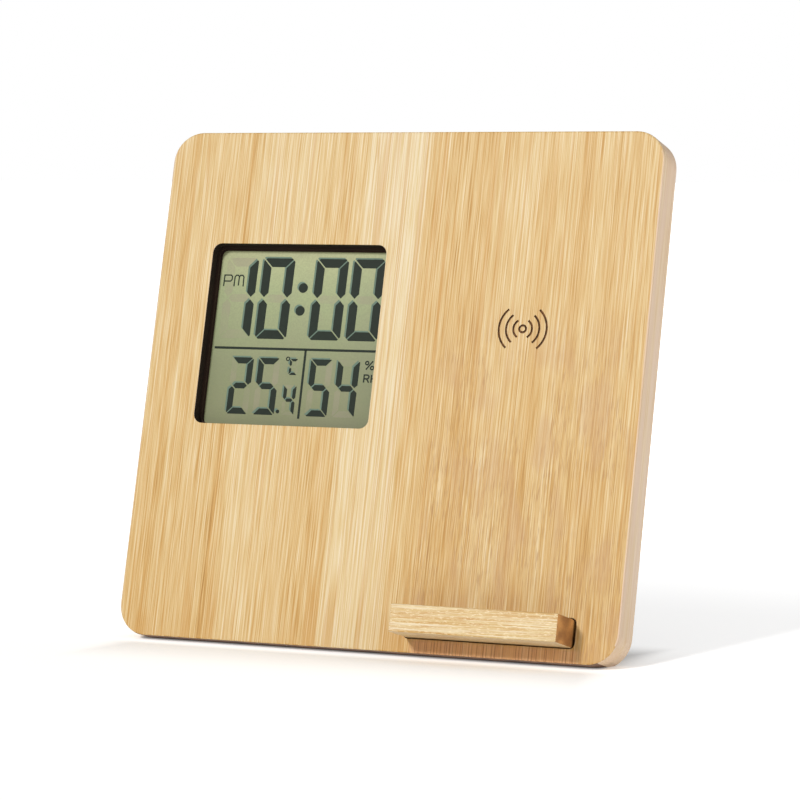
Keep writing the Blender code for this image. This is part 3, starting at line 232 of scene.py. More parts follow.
def bamboo_layers(paint, across, depth, along, tone, contrast=1.0):
    """Bamboo fibres that run along one axis: their wavy place, their colour and their height."""
    spot = paint.joined(across, depth, along)
    wander = paint.noise(spot, (0.05, 0.05, 0.012), detail=1.0)
    wander = paint.times(paint.about_middle(wander), WANDER)
    spot = paint.joined(paint.math("ADD", across, wander), depth, along)

    broad = paint.noise(spot, (0.17, 0.15, 0.008), detail=1.0)
    streak = paint.noise(spot, (0.8, 0.6, 0.008), detail=0.0, shift=(7.0, 3.0, 1.0))
    fibre = paint.noise(spot, (2.1, 1.6, 0.010), detail=0.0, shift=(2.0, 9.0, 4.0))
    hair = paint.noise(spot, (3.0, 2.4, 0.05), detail=1.0, roughness=0.8, shift=(1.0, 5.0, 8.0))
    for layer, weight in ((broad, BROAD_WEIGHT), (streak, STREAK_WEIGHT), (fibre, FIBRE_WEIGHT),
                          (hair, HAIR_WEIGHT)):
        part = paint.times(paint.about_middle(layer), weight * contrast)
        tone = paint.math("ADD", tone, part)
    colour = paint.ramp(tone, BAMBOO_TONES)

    # Dark lines of three kinds: short, wide apart, and long and thin
    line = paint.noise(spot, (2.5, 1.9, 0.006), detail=1.0, roughness=0.8, shift=(5.0, 1.0, 6.0))
    line = paint.spread(line, 0.60, 0.66, 0.0, 0.65)
    vein = paint.noise(spot, (0.24, 0.20, 0.003), detail=0.0, shift=(3.0, 8.0, 2.0))
    vein = paint.thin_lines(vein, 0.005, 0.015, 0.35)
    thread = paint.noise(spot, (0.80, 0.65, 0.004), detail=0.0, shift=(8.0, 2.0, 3.0))
    thread = paint.thin_lines(thread, 0.01, 0.05, 0.42)
    line = paint.math("MAXIMUM", paint.math("MAXIMUM", line, vein), thread)
    colour = paint.mix(line, colour, BAMBOO_LINE)

    shade = paint.math("ADD", paint.times(fibre, 0.36), paint.times(hair, 0.64))
    shade = paint.mix(shade, FIBRE_DARK, FIBRE_PALE)
    colour = paint.mix(1.0, colour, shade, blend="MULTIPLY")
    return spot, colour, fibre


def bamboo_face():
    """The panel's front and back: upright strips, with flecks in the lower right.

    The face is paler towards the top, which is painted light for how the light falls down it. The strip
    of the front under the ledge has a painted shade of the ledge, rosier with darker grain lines,
    wherever the ledge is.
    """
    paint = Paint("bamboo_face", roughness=0.48)
    paint.set("Specular IOR Level", 0.3)
    across, depth, height = paint.parts(paint.place())
    half = PANEL_WIDTH / MM / 2
    share = paint.spread(across, -half, half, smooth=False)
    tone = paint.ramp(share, [((mm + half) / (2 * half), value) for mm, value in STRIP_TONES])
    # Painted light: the tone rises towards the top, as the light falls down the face
    rise = paint.spread(height, 0.0, PANEL_HEIGHT / MM, -0.03, 0.09, smooth=False)
    tone = paint.math("ADD", tone, rise)
    spot, colour, fibre = bamboo_layers(paint, across, depth, height, tone)

    # Short flecks and soft clouds in the lower right
    fleck = paint.noise(spot, (3.0, 2.2, 0.16), detail=1.0, roughness=0.7)
    fleck = paint.spread(fleck, 0.50, 0.66, 0.0, 0.55)
    lower_right = paint.times(paint.spread(height, 108.0, 74.0), paint.spread(across, 10.0, 18.0))
    patch = paint.noise(spot, (0.10, 0.10, 0.035), detail=1.0, shift=(3.0, 0.0, 2.0))
    where = paint.times(lower_right, paint.spread(patch, 0.36, 0.52))
    colour = paint.mix(paint.times(fleck, where), colour, linear(156, 114, 68))
    cloud = paint.noise(spot, (0.13, 0.13, 0.05), detail=1.0, shift=(6.0, 0.0, 5.0))
    cloud = paint.times(lower_right, paint.spread(cloud, 0.48, 0.66, 0.0, 0.45))
    colour = paint.mix(cloud, colour, linear(180, 142, 98))

    # Painted shade of the ledge on the strip under it: rosier, with darker grain lines, wherever the
    # ledge is
    foot = paint.times(paint.spread(height, 4.5, 3.0, 0.0, 0.35), paint.spread(depth, 2.0, 1.0))
    under_ledge = paint.times(paint.spread(across, 14.5, 18.0), paint.spread(across, 68.0, 64.0))
    foot = paint.times(foot, under_ledge)
    colour = paint.mix(foot, colour, linear(242, 178, 138))
    painted_shade_grain = paint.times(foot, paint.spread(fibre, 0.50, 0.36, 0.0, 1.7))
    colour = paint.mix(painted_shade_grain, colour, linear(142, 92, 58))
    paint.set("Base Color", colour)
    paint.bump(fibre, 0.04, 0.6)
    return paint.material


def bamboo_side():
    """Planed long-grain sides: smoother and a little pinker than the face."""
    paint = Paint("bamboo_edge", roughness=0.5)
    across, depth, height = paint.parts(paint.place())
    spot, colour, fibre = bamboo_layers(paint, depth, across, height, SIDE_TONE)
    cloud = paint.noise(spot, (0.3, 0.3, 0.03), detail=1.0, shift=(2.0, 2.0, 7.0))
    colour = paint.mix(paint.spread(cloud, 0.3, 0.7, 0.45, 0.8), colour, linear(202, 177, 157))
    paint.set("Base Color", colour)
    paint.bump(fibre, 0.02, 0.5)
    return paint.material


def bamboo_end(name, pale, deep, dots, per_mm, strips):
    """End grain: small brown bundles scattered over a paler ground, crowded towards each strip's skin."""
    paint = Paint(name, roughness=0.62)
    place = paint.place()
    cells = paint.node("Mapping", {"Vector": place, "Scale": per_mm})
    bundle = paint.node("TexVoronoi", {"Vector": cells, "Scale": 1.0}, output="Distance")
    bundle = paint.spread(bundle, 0.16, 0.34, 1.0, 0.0)
    strip = paint.noise(place, strips, detail=1.0)
    dust = paint.noise(place, (2.5, 2.5, 2.5), detail=2.0)
    ground = paint.mix(paint.spread(strip, 0.3, 0.7), linear(*deep), linear(*pale))
    ground = paint.mix(paint.spread(dust, 0.35, 0.75, 0.0, 0.18), ground, linear(*dots))
    crowd = paint.spread(strip, 0.35, 0.65, 0.75, 0.35)
    paint.set("Base Color", paint.mix(paint.times(bundle, crowd), ground, linear(*dots)))
    paint.bump(bundle, 0.04, 0.5)
    return paint.material


def bamboo_leg():
    """The leg: fibres run along it, at the lean that it has when it stands open."""
    paint = Paint("bamboo_leg", roughness=0.5)
    paint.set("Specular IOR Level", 0.3)
    across, depth, along = paint.parts(paint.place(LEAN - LEG_OPEN))
    _, colour, fibre = bamboo_layers(paint, across, depth, along, LEG_TONE)
    paint.set("Base Color", colour)
    paint.bump(fibre, 0.04, 0.6)
    return paint.material


def bamboo_ledge():
    """The ledge: fibres run along it, with long dark streaks and short pale flecks."""
    paint = Paint("bamboo_bar", roughness=0.46)
    paint.set("Specular IOR Level", 0.3)
    across, depth, height = paint.parts(paint.place())
    spot, colour, fibre = bamboo_layers(paint, height, depth, across, LEDGE_TONE, LEDGE_CONTRAST)
    streak = paint.noise(spot, (3.2, 2.8, 0.09), detail=1.0, roughness=0.8)
    colour = paint.mix(paint.spread(streak, 0.52, 0.66, 0.0, 0.6), colour, linear(176, 130, 72))
    fleck = paint.noise(spot, (3.6, 3.2, 0.50), detail=2.0, roughness=0.8, shift=(4.0, 4.0, 1.0))
    colour = paint.mix(paint.spread(fleck, 0.52, 0.64, 0.0, 0.8), colour, linear(222, 206, 170))
    paint.set("Base Color", colour)
    paint.bump(fibre, 0.04, 0.6)
    return paint.material


def scorched(name, colour):
    """Wood burnt by the laser that cut it."""
    paint = Paint(name, roughness=0.75)
    paint.set("Specular IOR Level", 0.2)
    soot = paint.noise(paint.place(), (1.5, 1.5, 1.5), detail=3.0)
    lighter = linear(*scaled_colour(colour, 1.7))
    paint.set("Base Color", paint.mix(paint.spread(soot, 0.35, 0.75), linear(*colour), lighter))
    paint.bump(soot, 0.05, 0.5)
    return paint.material


def moulded(name, colour, grain, roughness=0.5, depth=0.03, gloss=0.5):
    """Moulded plastic or rubber with a fine eroded grain; grain is its size in millimetres."""
    paint = Paint(name)
    paint.set("Specular IOR Level", gloss)
    place = paint.place()
    pits = paint.noise(place, (1 / grain,) * 3, detail=3.0, roughness=0.6)
    cloud = paint.noise(place, (0.05, 0.05, 0.05), detail=2.0)
    lighter = linear(*scaled_colour(colour, 1.25, 4))
    paint.set("Base Color", paint.mix(paint.spread(cloud, 0.3, 0.7, 0.0, 0.5), linear(*colour), lighter))
    paint.set("Roughness", paint.spread(pits, 0.3, 0.7, roughness - 0.08, roughness + 0.08))
    paint.bump(pits, depth, 0.7)
    return paint.material


def metal(name, colour, lines, roughness=0.3):
    """Drawn or turned metal with fine lines; lines says how fast they change along each axis."""
    paint = Paint(name, metallic=1.0)
    line = paint.noise(paint.place(), lines, detail=2.0)
    darker = linear(*scaled_colour(colour, 0.82))
    paint.set("Base Color", paint.mix(line, linear(*colour), darker))
    paint.set("Roughness", paint.spread(line, 0.3, 0.7, roughness - 0.08, roughness + 0.10))
    paint.bump(line, 0.01, 0.4)
    return paint.material


def board_green():
    """Circuit board: green mask, with paler lines where copper runs under it."""
    paint = Paint("board_green", roughness=0.32)
    place = paint.place()
    across, _, height = paint.parts(place)
    track = paint.node("TexBrick", {
        "Vector": paint.joined(across, height, 0.0), "Scale": 1.0, "Mortar Size": 0.12,
        "Mortar Smooth": 0.1, "Brick Width": 6.0, "Row Height": 1.5,
    }, output="Fac")
    blotch = paint.noise(place, (0.3, 0.3, 0.3), detail=1.0)
    track = paint.times(track, paint.spread(blotch, 0.45, 0.55))
    paint.set("Base Color", paint.mix(track, linear(16, 84, 44), linear(44, 128, 70)))
    paint.bump(track, 0.03, 0.5)
    return paint.material


def display_ground(name, haze):
    """The display's grey-green ground, with a fine grain and a faint pink haze. It is lighter at the top:
    painted light and shade, for the shading of the recessed window and the display darkening with the
    angle it is seen at.
    """
    paint = Paint(name, roughness=0.42)
    paint.set("Specular IOR Level", 0.3)
    place = paint.place()
    _, _, height = paint.parts(place)
    # Painted light and shade: the ground darkens towards the bottom of the window
    share = paint.spread(height, 63.0, 116.0, smooth=False)
    colour = paint.ramp(share, (
        (0.0, linear(113, 119, 77)), (0.35, linear(118, 127, 86)), (0.75, linear(144, 156, 109)),
        (1.0, linear(168, 173, 125)),
    ))
    grain = paint.noise(place, (2.5, 2.5, 2.5), detail=2.0)
    colour = paint.mix(paint.spread(grain, 0.3, 0.7, 0.0, 0.22), colour, linear(96, 100, 74))
    cloud = paint.noise(place, (0.14, 0.14, 0.14), detail=2.0)
    colour = paint.mix(paint.spread(cloud, 0.35, 0.65, haze / 2, haze), colour, linear(136, 128, 106))
    paint.set("Base Color", colour)
    paint.bump(grain, 0.01, 0.3)
    return paint.material


def display_ink(name, colour):
    """Switched liquid crystal: even, with a faint mottle."""
    paint = Paint(name, roughness=0.45)
    mottle = paint.noise(paint.place(), (0.6, 0.6, 0.6), detail=2.0)
    lighter = linear(*scaled_colour(colour, 1.04, 2))
    paint.set("Base Color", paint.mix(paint.spread(mottle, 0.35, 0.65), linear(*colour), lighter))
    paint.set("Specular IOR Level", 0.12)
    return paint.material


PANEL_STRIPS = (0.14, 0.02, 0.02)
LEDGE_STRIPS = (0.02, 0.16, 0.24)
panel_face = bamboo_face()
panel_side = bamboo_side()
end_grain = bamboo_end("bamboo_end", (220, 194, 150), (206, 172, 124), (140, 94, 50),
                       (0.95, 1.15, 0.4), PANEL_STRIPS)
ledge_end = bamboo_end("bar_end", (200, 142, 77), (142, 93, 45), (110, 70, 36),
                       (0.5, 1.6, 1.6), LEDGE_STRIPS)
# Painted shade: the panel's bottom end grain is much darker than the top's, as it lies in shade over the
# floor
shaded_bottom_end = bamboo_end("shaded_bottom_end", (120, 84, 54), (92, 62, 40), (72, 46, 28),
                        (1.25, 0.5, 1.5), PANEL_STRIPS)
leg_bamboo = bamboo_leg()
ledge_bamboo = bamboo_ledge()
burnt_wall = scorched("burnt_wall", (24, 16, 11))
burnt_line = scorched("burnt_line", (72, 48, 28))
slot_dark = scorched("slot_dark", (44, 28, 17))
cover_black = moulded("cover_black", (24, 24, 25), 0.55, roughness=0.5, depth=0.09)
frame_black = moulded("frame_black", (42, 29, 21), 0.3, roughness=0.75, gloss=0.2)
# The border on the display's glass: partly print, partly painted shade along its top
border_print_and_shade = moulded("border_print_and_shade", (46, 32, 23), 0.3, roughness=0.8, gloss=0.2)
button_grey = moulded("button_grey", (112, 112, 114), 0.3, roughness=0.42, depth=0.01)
sensor_white = moulded("sensor_white", (222, 222, 218), 0.3, roughness=0.4, depth=0.01)
resin_black = moulded("resin_black", (18, 18, 19), 1.2, roughness=0.22, depth=0.02)
ferrite_grey = moulded("ferrite_grey", (58, 58, 60), 0.2, roughness=0.6)
pad_rubber = moulded("pad_rubber", (34, 34, 34), 0.25, roughness=0.78, depth=0.05)
film_amber = moulded("film_amber", (178, 116, 44), 1.0, roughness=0.35, depth=0.01)
steel_plain = metal("steel_plain", (196, 196, 194), (1.2, 6.0, 1.2))
steel_cell = metal("steel_cell", (206, 206, 204), (0.15, 5.0, 7.0), roughness=0.36)
steel_screw = metal("steel_screw", (150, 150, 152), (2.5, 2.5, 2.5), roughness=0.34)
steel_pin = metal("steel_pin", (200, 200, 198), (0.4, 6.0, 6.0))
contact_gold = metal("contact_gold", (226, 186, 104), (3.0, 3.0, 3.0), roughness=0.3)
recess_dark = metal("recess_dark", (92, 92, 94), (2.5, 2.5, 2.5), roughness=0.45)
copper_lacquer = metal("copper_lacquer", (206, 122, 76), (0.8, 0.8, 0.8), roughness=0.28)
green_board = board_green()
glass_ground = display_ground("display_ground", 0.22)
ink_dark = display_ink("display_ink", (20, 31, 21))
# Painted shadows of the lit bars on the display
ink_shade = display_ink("display_ink_shade", (94, 114, 100))
ink_ghost = display_ground("display_ink_ghost", 0.62)


# Meshes

WELD = 0.002 * MM
FLAT_ANGLE = math.radians(0.6)
RIM_EASE = 0.22 * MM

# How far from the rim's depth an edge may lie, in millimetres
RIM_TOLERANCE = 0.01
SHARP_EDGE = math.radians(50)
SMOOTH_DEGREES = 38


def add_object(name, mesh, materials):
    """A new object in the scene, with its materials."""
    for material in materials:
        mesh.materials.append(material)
    piece = bpy.data.objects.new(name, mesh)
    bpy.context.scene.collection.objects.link(piece)
    return piece


def from_bmesh(bm, name, materials):
    """A new object from a closed bmesh, with its faces outward."""
    bmesh.ops.recalc_face_normals(bm, faces=bm.faces)
    mesh = bpy.data.meshes.new(name)
    bm.to_mesh(mesh)
    bm.free()
    return add_object(name, mesh, materials)


def add_piece(bm, name, material, body):
    """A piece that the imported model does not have, which rides on a body."""
    piece = from_bmesh(bm, name, [material])
    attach(piece, body)


def add_prism(bm, outline, front, back):
    """A flat solid on the panel, from an outline of (across, height) points."""
    near = [bm.verts.new(on_panel(x, front, y)) for x, y in outline]
    far = [bm.verts.new(on_panel(x, back, y)) for x, y in outline]
    bm.faces.new(near)
    bm.faces.new(reversed(far))
    for i in range(len(outline)):
        j = (i + 1) % len(outline)
        bm.faces.new((near[j], near[i], far[i], far[j]))


def add_stroke(bm, points, width, front, back, closed=False):
    """A line of even width along (across, height) points, as a solid with mitred corners."""
    count = len(points)
    line = [Vector(point) for point in points]
    sections = []
    for i, point in enumerate(line):
        before = line[i - 1] if closed or i > 0 else point
        after = line[(i + 1) % count] if closed or i < count - 1 else point
        into = (point - before).normalized()
        out = (after - point).normalized()
        if into.length == 0:
            into = out
        if out.length == 0:
            out = into
        side = Vector((-(into + out).y, (into + out).x)).normalized()
        reach = width / 2 / max(0.5, side.dot(Vector((-into.y, into.x))))
        left, right = point + side * reach, point - side * reach
        corners = ((left, front), (right, front), (right, back), (left, back))
        sections.append([bm.verts.new(on_panel(corner.x, depth, corner.y)) for corner, depth in corners])
    for i in range(count if closed else count - 1):
        here, there = sections[i], sections[(i + 1) % count]
        for k in range(4):
            m = (k + 1) % 4
            bm.faces.new((here[k], here[m], there[m], there[k]))
    if not closed:
        bm.faces.new(sections[0])
        bm.faces.new(reversed(sections[-1]))


def arc(centre, radius, start, end, steps):
    """Points on a circle about centre, from one angle in degrees to another."""
    found = []
    for i in range(steps + 1):
        angle = math.radians(start + (end - start) * i / steps)
        found.append((centre[0] + radius * math.cos(angle), centre[1] + radius * math.sin(angle)))
    return found


def circle(centre, radius, steps):
    """Points all round a circle."""
    return arc(centre, radius, 0, 360, steps)[:-1]


def rounded(limits, radius, steps):
    """A rectangle with round corners, from (left, right, bottom, top) in millimetres."""
    left, right, bottom, top = (value * MM for value in limits)
    found = []
    for x, y, start in ((right - radius, top - radius, 0), (left + radius, top - radius, 90),
                        (left + radius, bottom + radius, 180), (right - radius, bottom + radius, 270)):
        found += arc((x, y), radius, start, start + 90, steps)
    return found


def inside(spot, limits):
    """Whether a point on the panel, in millimetres, lies within (left, right, bottom, top)."""
    return limits[0] < spot.x < limits[1] and limits[2] < spot.z < limits[3]


def on_rim(edge, rims, plane):
    """Whether an edge of the face at the depth plane, in millimetres, lies within one of the rims."""
    for vert in edge.verts:
        spot = to_panel(vert.co) / MM
        if abs(spot.y - plane) > RIM_TOLERANCE or not any(inside(spot, rim) for rim in rims):
            return False
    faces = [TO_PANEL @ face.normal for face in edge.link_faces]
    return len(faces) == 2 and abs(faces[0].y - faces[1].y) > 0.5


def span(node):
    """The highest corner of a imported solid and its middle, on the panel."""
    spots = [to_panel(vert.co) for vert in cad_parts[node].data.vertices]
    low = Vector([min(spot[i] for spot in spots) for i in range(3)])
    high = Vector([max(spot[i] for spot in spots) for i in range(3)])
    return high, (low + high) / 2


def clean_copy(node, rims, plane):
    """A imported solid's mesh with each flat face whole, and a small chamfer along its rims."""
    bm = bmesh.new()
    bm.from_mesh(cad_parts[node].data)
    bmesh.ops.remove_doubles(bm, verts=bm.verts, dist=WELD)
    bmesh.ops.dissolve_limit(
        bm, angle_limit=FLAT_ANGLE, verts=bm.verts, edges=bm.edges, delimit={"NORMAL"})
    if rims:
        front = [edge for edge in bm.edges if on_rim(edge, rims, plane)]
        bmesh.ops.bevel(bm, geom=front, offset=RIM_EASE, segments=1, affect="EDGES", clamp_overlap=True)
    mesh = bpy.data.meshes.new("dressed_" + node)
    bm.to_mesh(mesh)
    bm.free()
    return mesh


def settle(piece):
    """Applies the piece's modifiers to its mesh."""
    graph = bpy.context.evaluated_depsgraph_get()
    mesh = bpy.data.meshes.new_from_object(piece.evaluated_get(graph))
    piece.modifiers.clear()
    piece.data = mesh


def round_edges(piece, width):
    """Rounds every sharp edge of a piece."""
    rounding = piece.modifiers.new("rounding", "BEVEL")
    rounding.width = width
    rounding.segments = 2
    rounding.limit_method = "ANGLE"
    rounding.angle_limit = SHARP_EDGE
    settle(piece)


def cut_out(piece, cutter):
    """Takes a cutter's shape out of a piece; the cutter's material lines the recess."""
    cut = piece.modifiers.new("recess", "BOOLEAN")
    cut.object = cutter
    cut.operation = "DIFFERENCE"
    cut.solver = "EXACT"
    cut.material_mode = "TRANSFER"
    settle(piece)
    bpy.data.objects.remove(cutter)


def smooth(piece, degrees):
    """Smooth shading that keeps edges sharper than an angle, weighted by the faces' areas."""
    mesh = piece.data
    mesh.shade_smooth()
    mesh.set_sharp_from_angle(angle=math.radians(degrees))
    weighted = piece.modifiers.new("normals", "WEIGHTED_NORMAL")
    weighted.keep_sharp = True
    weighted.weight = 80


def dressed(node, materials, body, choose=None, rims=(), plane=0.0, ease=0.0, cutter=None,
            degrees=SMOOTH_DEGREES):
    """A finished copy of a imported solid, which stands for it.

    choose(centre, normal), both on the panel, picks each face's material. Edges of the face at
    the depth plane that lie within one of the rims get a small chamfer. ease rounds every sharp
    edge by that much, and cutter is taken out. Edges sharper than degrees stay crisp.
    """
    piece = add_object("dressed_" + node, clean_copy(node, rims, plane), materials)
    if ease > 0:
        round_edges(piece, ease)
    if cutter is not None:
        cut_out(piece, cutter)
    if choose is not None:
        for face in piece.data.polygons:
            if face.material_index < len(materials):
                face.material_index = choose(to_panel(face.center) / MM, TO_PANEL @ face.normal)
    smooth(piece, degrees)
    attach(piece, body)
    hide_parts(node)


# Front panel, with the charging symbol engraved above the ledge, and the ledge

SYMBOL_CENTRE = (0.0398, 0.0928)
SYMBOL_RING_RADIUS = 0.0010
SYMBOL_ARCS = ((0.0028, 58), (0.0050, 51), (0.0072, 50))
ENGRAVED_WIDTH = 0.00062
ENGRAVED_DEPTH = 0.00035
CUTTER_FRONT = -0.0005
PANEL_FINISHES = [panel_face, panel_side, end_grain, burnt_wall, slot_dark, shaded_bottom_end]
FACE, SIDE, END, WALL, SLOT_WALL, BOTTOM = range(6)

# Depths and the height, in millimetres, that tell the panel's walls and bottom from its faces
WALL_FRONT = 0.15
SLOT_FRONT = 0.05
SLOT_DEEPEST = 6.5
BOTTOM_HEIGHT = 8.0


def panel_finish(centre, normal):
    """Which of the panel's finishes a face takes."""
    if inside(centre, WINDOW) and centre.y > WALL_FRONT and abs(normal.y) < 0.9:
        return WALL
    if inside(centre, SLOT) and SLOT_FRONT < centre.y < SLOT_DEEPEST:
        return SLOT_WALL
    if abs(normal.x) > 0.35:
        return SIDE
    if abs(normal.y) > 0.5:
        return FACE
    return BOTTOM if normal.z < 0 and centre.z < BOTTOM_HEIGHT else END


def ledge_finish(_, normal):
    """The ledge's long faces take the first finish, its two ends the second."""
    return 1 if abs(normal.x) > 0.72 else 0


def symbol_cutter():
    """The three arcs on each side of a ring, a little proud of the panel."""
    bm = bmesh.new()
    ring = circle(SYMBOL_CENTRE, SYMBOL_RING_RADIUS, 32)
    add_stroke(bm, ring, ENGRAVED_WIDTH, CUTTER_FRONT, ENGRAVED_DEPTH, closed=True)
    for radius, half_turn in SYMBOL_ARCS:
        for facing in (0, 180):
            line = arc(SYMBOL_CENTRE, radius, facing - half_turn, facing + half_turn, 28)
            add_stroke(bm, line, ENGRAVED_WIDTH, CUTTER_FRONT, ENGRAVED_DEPTH)
    return from_bmesh(bm, "cutter", [burnt_line])


dressed("front_panel", PANEL_FINISHES, "station", choose=panel_finish, rims=(WINDOW, SLOT),
        cutter=symbol_cutter(), degrees=28)
dressed("phone_ledge", [ledge_bamboo, ledge_end], "ledge", choose=ledge_finish)


# Display: thin layers that stand on the glass, given by the depth of their front

GLASS_FRONT = 0.0046
GHOST_FRONT = 0.00459
SHADE_FRONT = 0.00458
SEGMENT_FRONT = 0.00456
BORDER_FRONT = 0.00450

# Across and up: where the layout lies on the glass, and where the lit bars' shades lie
READOUT_SHIFT = (0.00020, -0.00020)
SHADE_SHIFT = (-0.00032, 0.00022)

# Which of the seven bars each figure lights: a top, b and c right, d bottom, e and f left, g middle
FIGURES = {
    "0": "abcdef", "1": "bc", "2": "abged", "4": "fgbc", "5": "afgcd", "C": "afed",
}

# Sizes of figures: width, height, bar thickness, gap and chamfer in millimetres, and how long an
# upright bar's point is, as a share of its thickness
BIG = (10.15, 24.1, 2.62, 0.26, 0.7, 0.52)
MEDIUM = (6.95, 16.8, 1.84, 0.22, 0.35, 0.44)
SMALL = (3.95, 8.8, 1.05, 0.20, 0.2, 0.44)
SMALLEST = (2.75, 4.75, 0.72, 0.18, 0.15, 0.44)
FIGURE_SLANT = 0.012

# The middle bar's half height, as a share of its thickness, and the points' gap, as one of the gap
MIDDLE_RISE = 0.46
POINT_GAP = 1.4

# Each figure: its centre across and up in millimetres, and its size
READOUT = (
    ("1", -52.65, 101.3, BIG), ("0", -40.8, 101.3, BIG), ("0", -23.55, 101.3, BIG),
    ("0", -11.65, 101.3, BIG), ("2", -49.0, 75.2, MEDIUM), ("5", -40.4, 75.2, MEDIUM),
    ("4", -32.7, 71.35, SMALL), ("C", -32.35, 81.15, SMALLEST), ("5", -23.55, 75.2, MEDIUM),
    ("4", -14.9, 75.2, MEDIUM),
)

# Each dot: its centre across and up, and its radius
DOTS = ((-32.1, 104.6, 1.46), (-32.3, 97.8, 1.46), (-35.9, 67.9, 0.56))

# Printed lines: width, whether the line closes on itself, and its points, all in millimetres
RULE_WIDTH = 0.70
RING_WIDTH = 0.32
THIN_WIDTH = 0.38
LETTER_WIDTH = 0.42
MARKS = (
    # Rules under the time and between the two readings
    (RULE_WIDTH, False, ((-58.7, 86.35), (-4.0, 86.35))),
    (RULE_WIDTH, False, ((-29.05, 86.2), (-29.05, 66.0))),
    # Degree ring
    (RING_WIDTH, True, circle((-34.4, 83.5), 0.52, 20)),
    # P
    (THIN_WIDTH, False, ((-58.15, 104.75), (-58.1, 108.1), (-56.0, 108.1), (-55.55, 107.7),
                         (-55.6, 106.75), (-56.05, 106.3), (-57.9, 106.3))),
    # M, rounded at its shoulders
    (THIN_WIDTH, False, ((-54.75, 104.75), (-54.7, 107.6), (-54.3, 108.1), (-53.7, 108.1),
                         (-53.3, 107.7), (-53.35, 105.0))),
    (THIN_WIDTH, False, ((-53.25, 107.75), (-52.9, 108.1), (-52.2, 108.1), (-51.8, 107.6),
                         (-51.75, 104.75))),
    # Per cent
    (THIN_WIDTH, False, ((-9.3, 81.0), (-7.3, 83.5))),
    (THIN_WIDTH, True, circle((-9.1, 82.9), 0.5, 16)),
    (THIN_WIDTH, True, circle((-7.4, 81.5), 0.5, 16)),
    # R
    (LETTER_WIDTH, False, ((-9.6, 77.2), (-9.6, 79.4), (-8.5, 79.4), (-8.1, 79.1), (-8.1, 78.6),
                           (-8.5, 78.3), (-9.45, 78.3))),
    (LETTER_WIDTH, False, ((-8.75, 78.3), (-8.0, 77.2))),
    # H
    (LETTER_WIDTH, False, ((-7.3, 77.2), (-7.3, 79.5))),
    (LETTER_WIDTH, False, ((-7.2, 78.35), (-6.0, 78.35))),
    (LETTER_WIDTH, False, ((-5.9, 77.2), (-5.9, 79.5))),
)

# Dark border round the glass, wider along the top: partly print, and partly painted shade for the shade
# under the window's top wall
BORDER_OUTER = (-61.0, -4.0, 62.2, 117.0)
BORDER_INNER = (-59.35, -5.0, 63.3, 115.2)
BORDER_RADIUS = 0.0018
BORDER_STEPS = 6


def bar_outline(letter, width, height, thickness, gap, chamfer, point):
    """The outline of one of the seven bars about the figure's centre."""
    left, top = -width / 2, height / 2
    if letter in "ad":
        points = [
            (left + chamfer + gap, top), (-left - chamfer - gap, top),
            (-left - chamfer / 2 - gap, top - chamfer / 2), (-left - thickness - gap, top - thickness),
            (left + thickness + gap, top - thickness), (left + chamfer / 2 + gap, top - chamfer / 2),
        ]
        return points if letter == "a" else [(x, -y) for x, y in reversed(points)]
    tip = gap * POINT_GAP
    if letter == "g":
        end = left + thickness / 2 + tip
        shoulder = left + thickness + gap
        rise = thickness * MIDDLE_RISE
        return [(end, 0.0), (shoulder, rise), (-shoulder, rise), (-end, 0.0), (-shoulder, -rise),
                (shoulder, -rise)]
    points = [
        (left + chamfer / 2, top - chamfer / 2 - gap), (left + thickness, top - thickness - gap),
        (left + thickness, thickness * point + tip), (left + thickness / 2, tip),
        (left, thickness * point + tip), (left, top - chamfer - gap),
    ]
    if letter in "ce":
        points = [(x, -y) for x, y in points]
    if letter in "bc":
        points = [(-x, y) for x, y in points]
    return points


def shifted(points, across, height, shift):
    """A figure's points, leaned and moved to their place, in metres."""
    return [
        ((across + x + y * FIGURE_SLANT) * MM + shift[0], (height + y) * MM + shift[1]) for x, y in points
    ]


def add_bars(bm, front, shift, lit):
    """Every bar that is lit, or every bar that is not, as thin plates on the glass."""
    for figure, across, height, size in READOUT:
        for letter in "abcdefg":
            if (letter in FIGURES[figure]) == lit:
                outline = shifted(bar_outline(letter, *size), across, height, shift)
                add_prism(bm, outline, front, GLASS_FRONT)


def add_dots(bm, front, shift):
    """The colon between hours and minutes, and the decimal point."""
    for across, height, radius in DOTS:
        outline = shifted(circle((0.0, 0.0), radius, 28), across, height, shift)
        add_prism(bm, outline, front, GLASS_FRONT)


def add_marks(bm, front, shift):
    """The rules between the fields and the small marks beside the figures."""
    for width, closed, points in MARKS:
        moved = [(x * MM + shift[0], y * MM + shift[1]) for x, y in points]
        add_stroke(bm, moved, width * MM, front, GLASS_FRONT, closed)


def add_layer(name, front, shift, lit, material):
    """One layer of the readout: unlit bars, the lit bars' shades, or the lit bars with the marks."""
    bm = bmesh.new()
    add_bars(bm, front, shift, lit)
    if lit:
        add_dots(bm, front, shift)
    if front == SEGMENT_FRONT:
        add_marks(bm, front, shift)
    add_piece(bm, name, material, "station")


def add_border():
    """A flat dark frame on the glass, partly print and partly painted shade along its top."""
    bm = bmesh.new()
    rings = []
    for limits, depth in ((BORDER_OUTER, BORDER_FRONT), (BORDER_INNER, BORDER_FRONT),
                          (BORDER_INNER, GLASS_FRONT), (BORDER_OUTER, GLASS_FRONT)):
        outline = rounded(limits, BORDER_RADIUS, BORDER_STEPS)
        rings.append([bm.verts.new(on_panel(x, depth, y)) for x, y in outline])
    for k in range(4):
        here, there = rings[k], rings[(k + 1) % 4]
        for i in range(len(here)):
            j = (i + 1) % len(here)
            bm.faces.new((here[i], here[j], there[j], there[i]))
    add_piece(bm, "lcd_border", border_print_and_shade, "station")


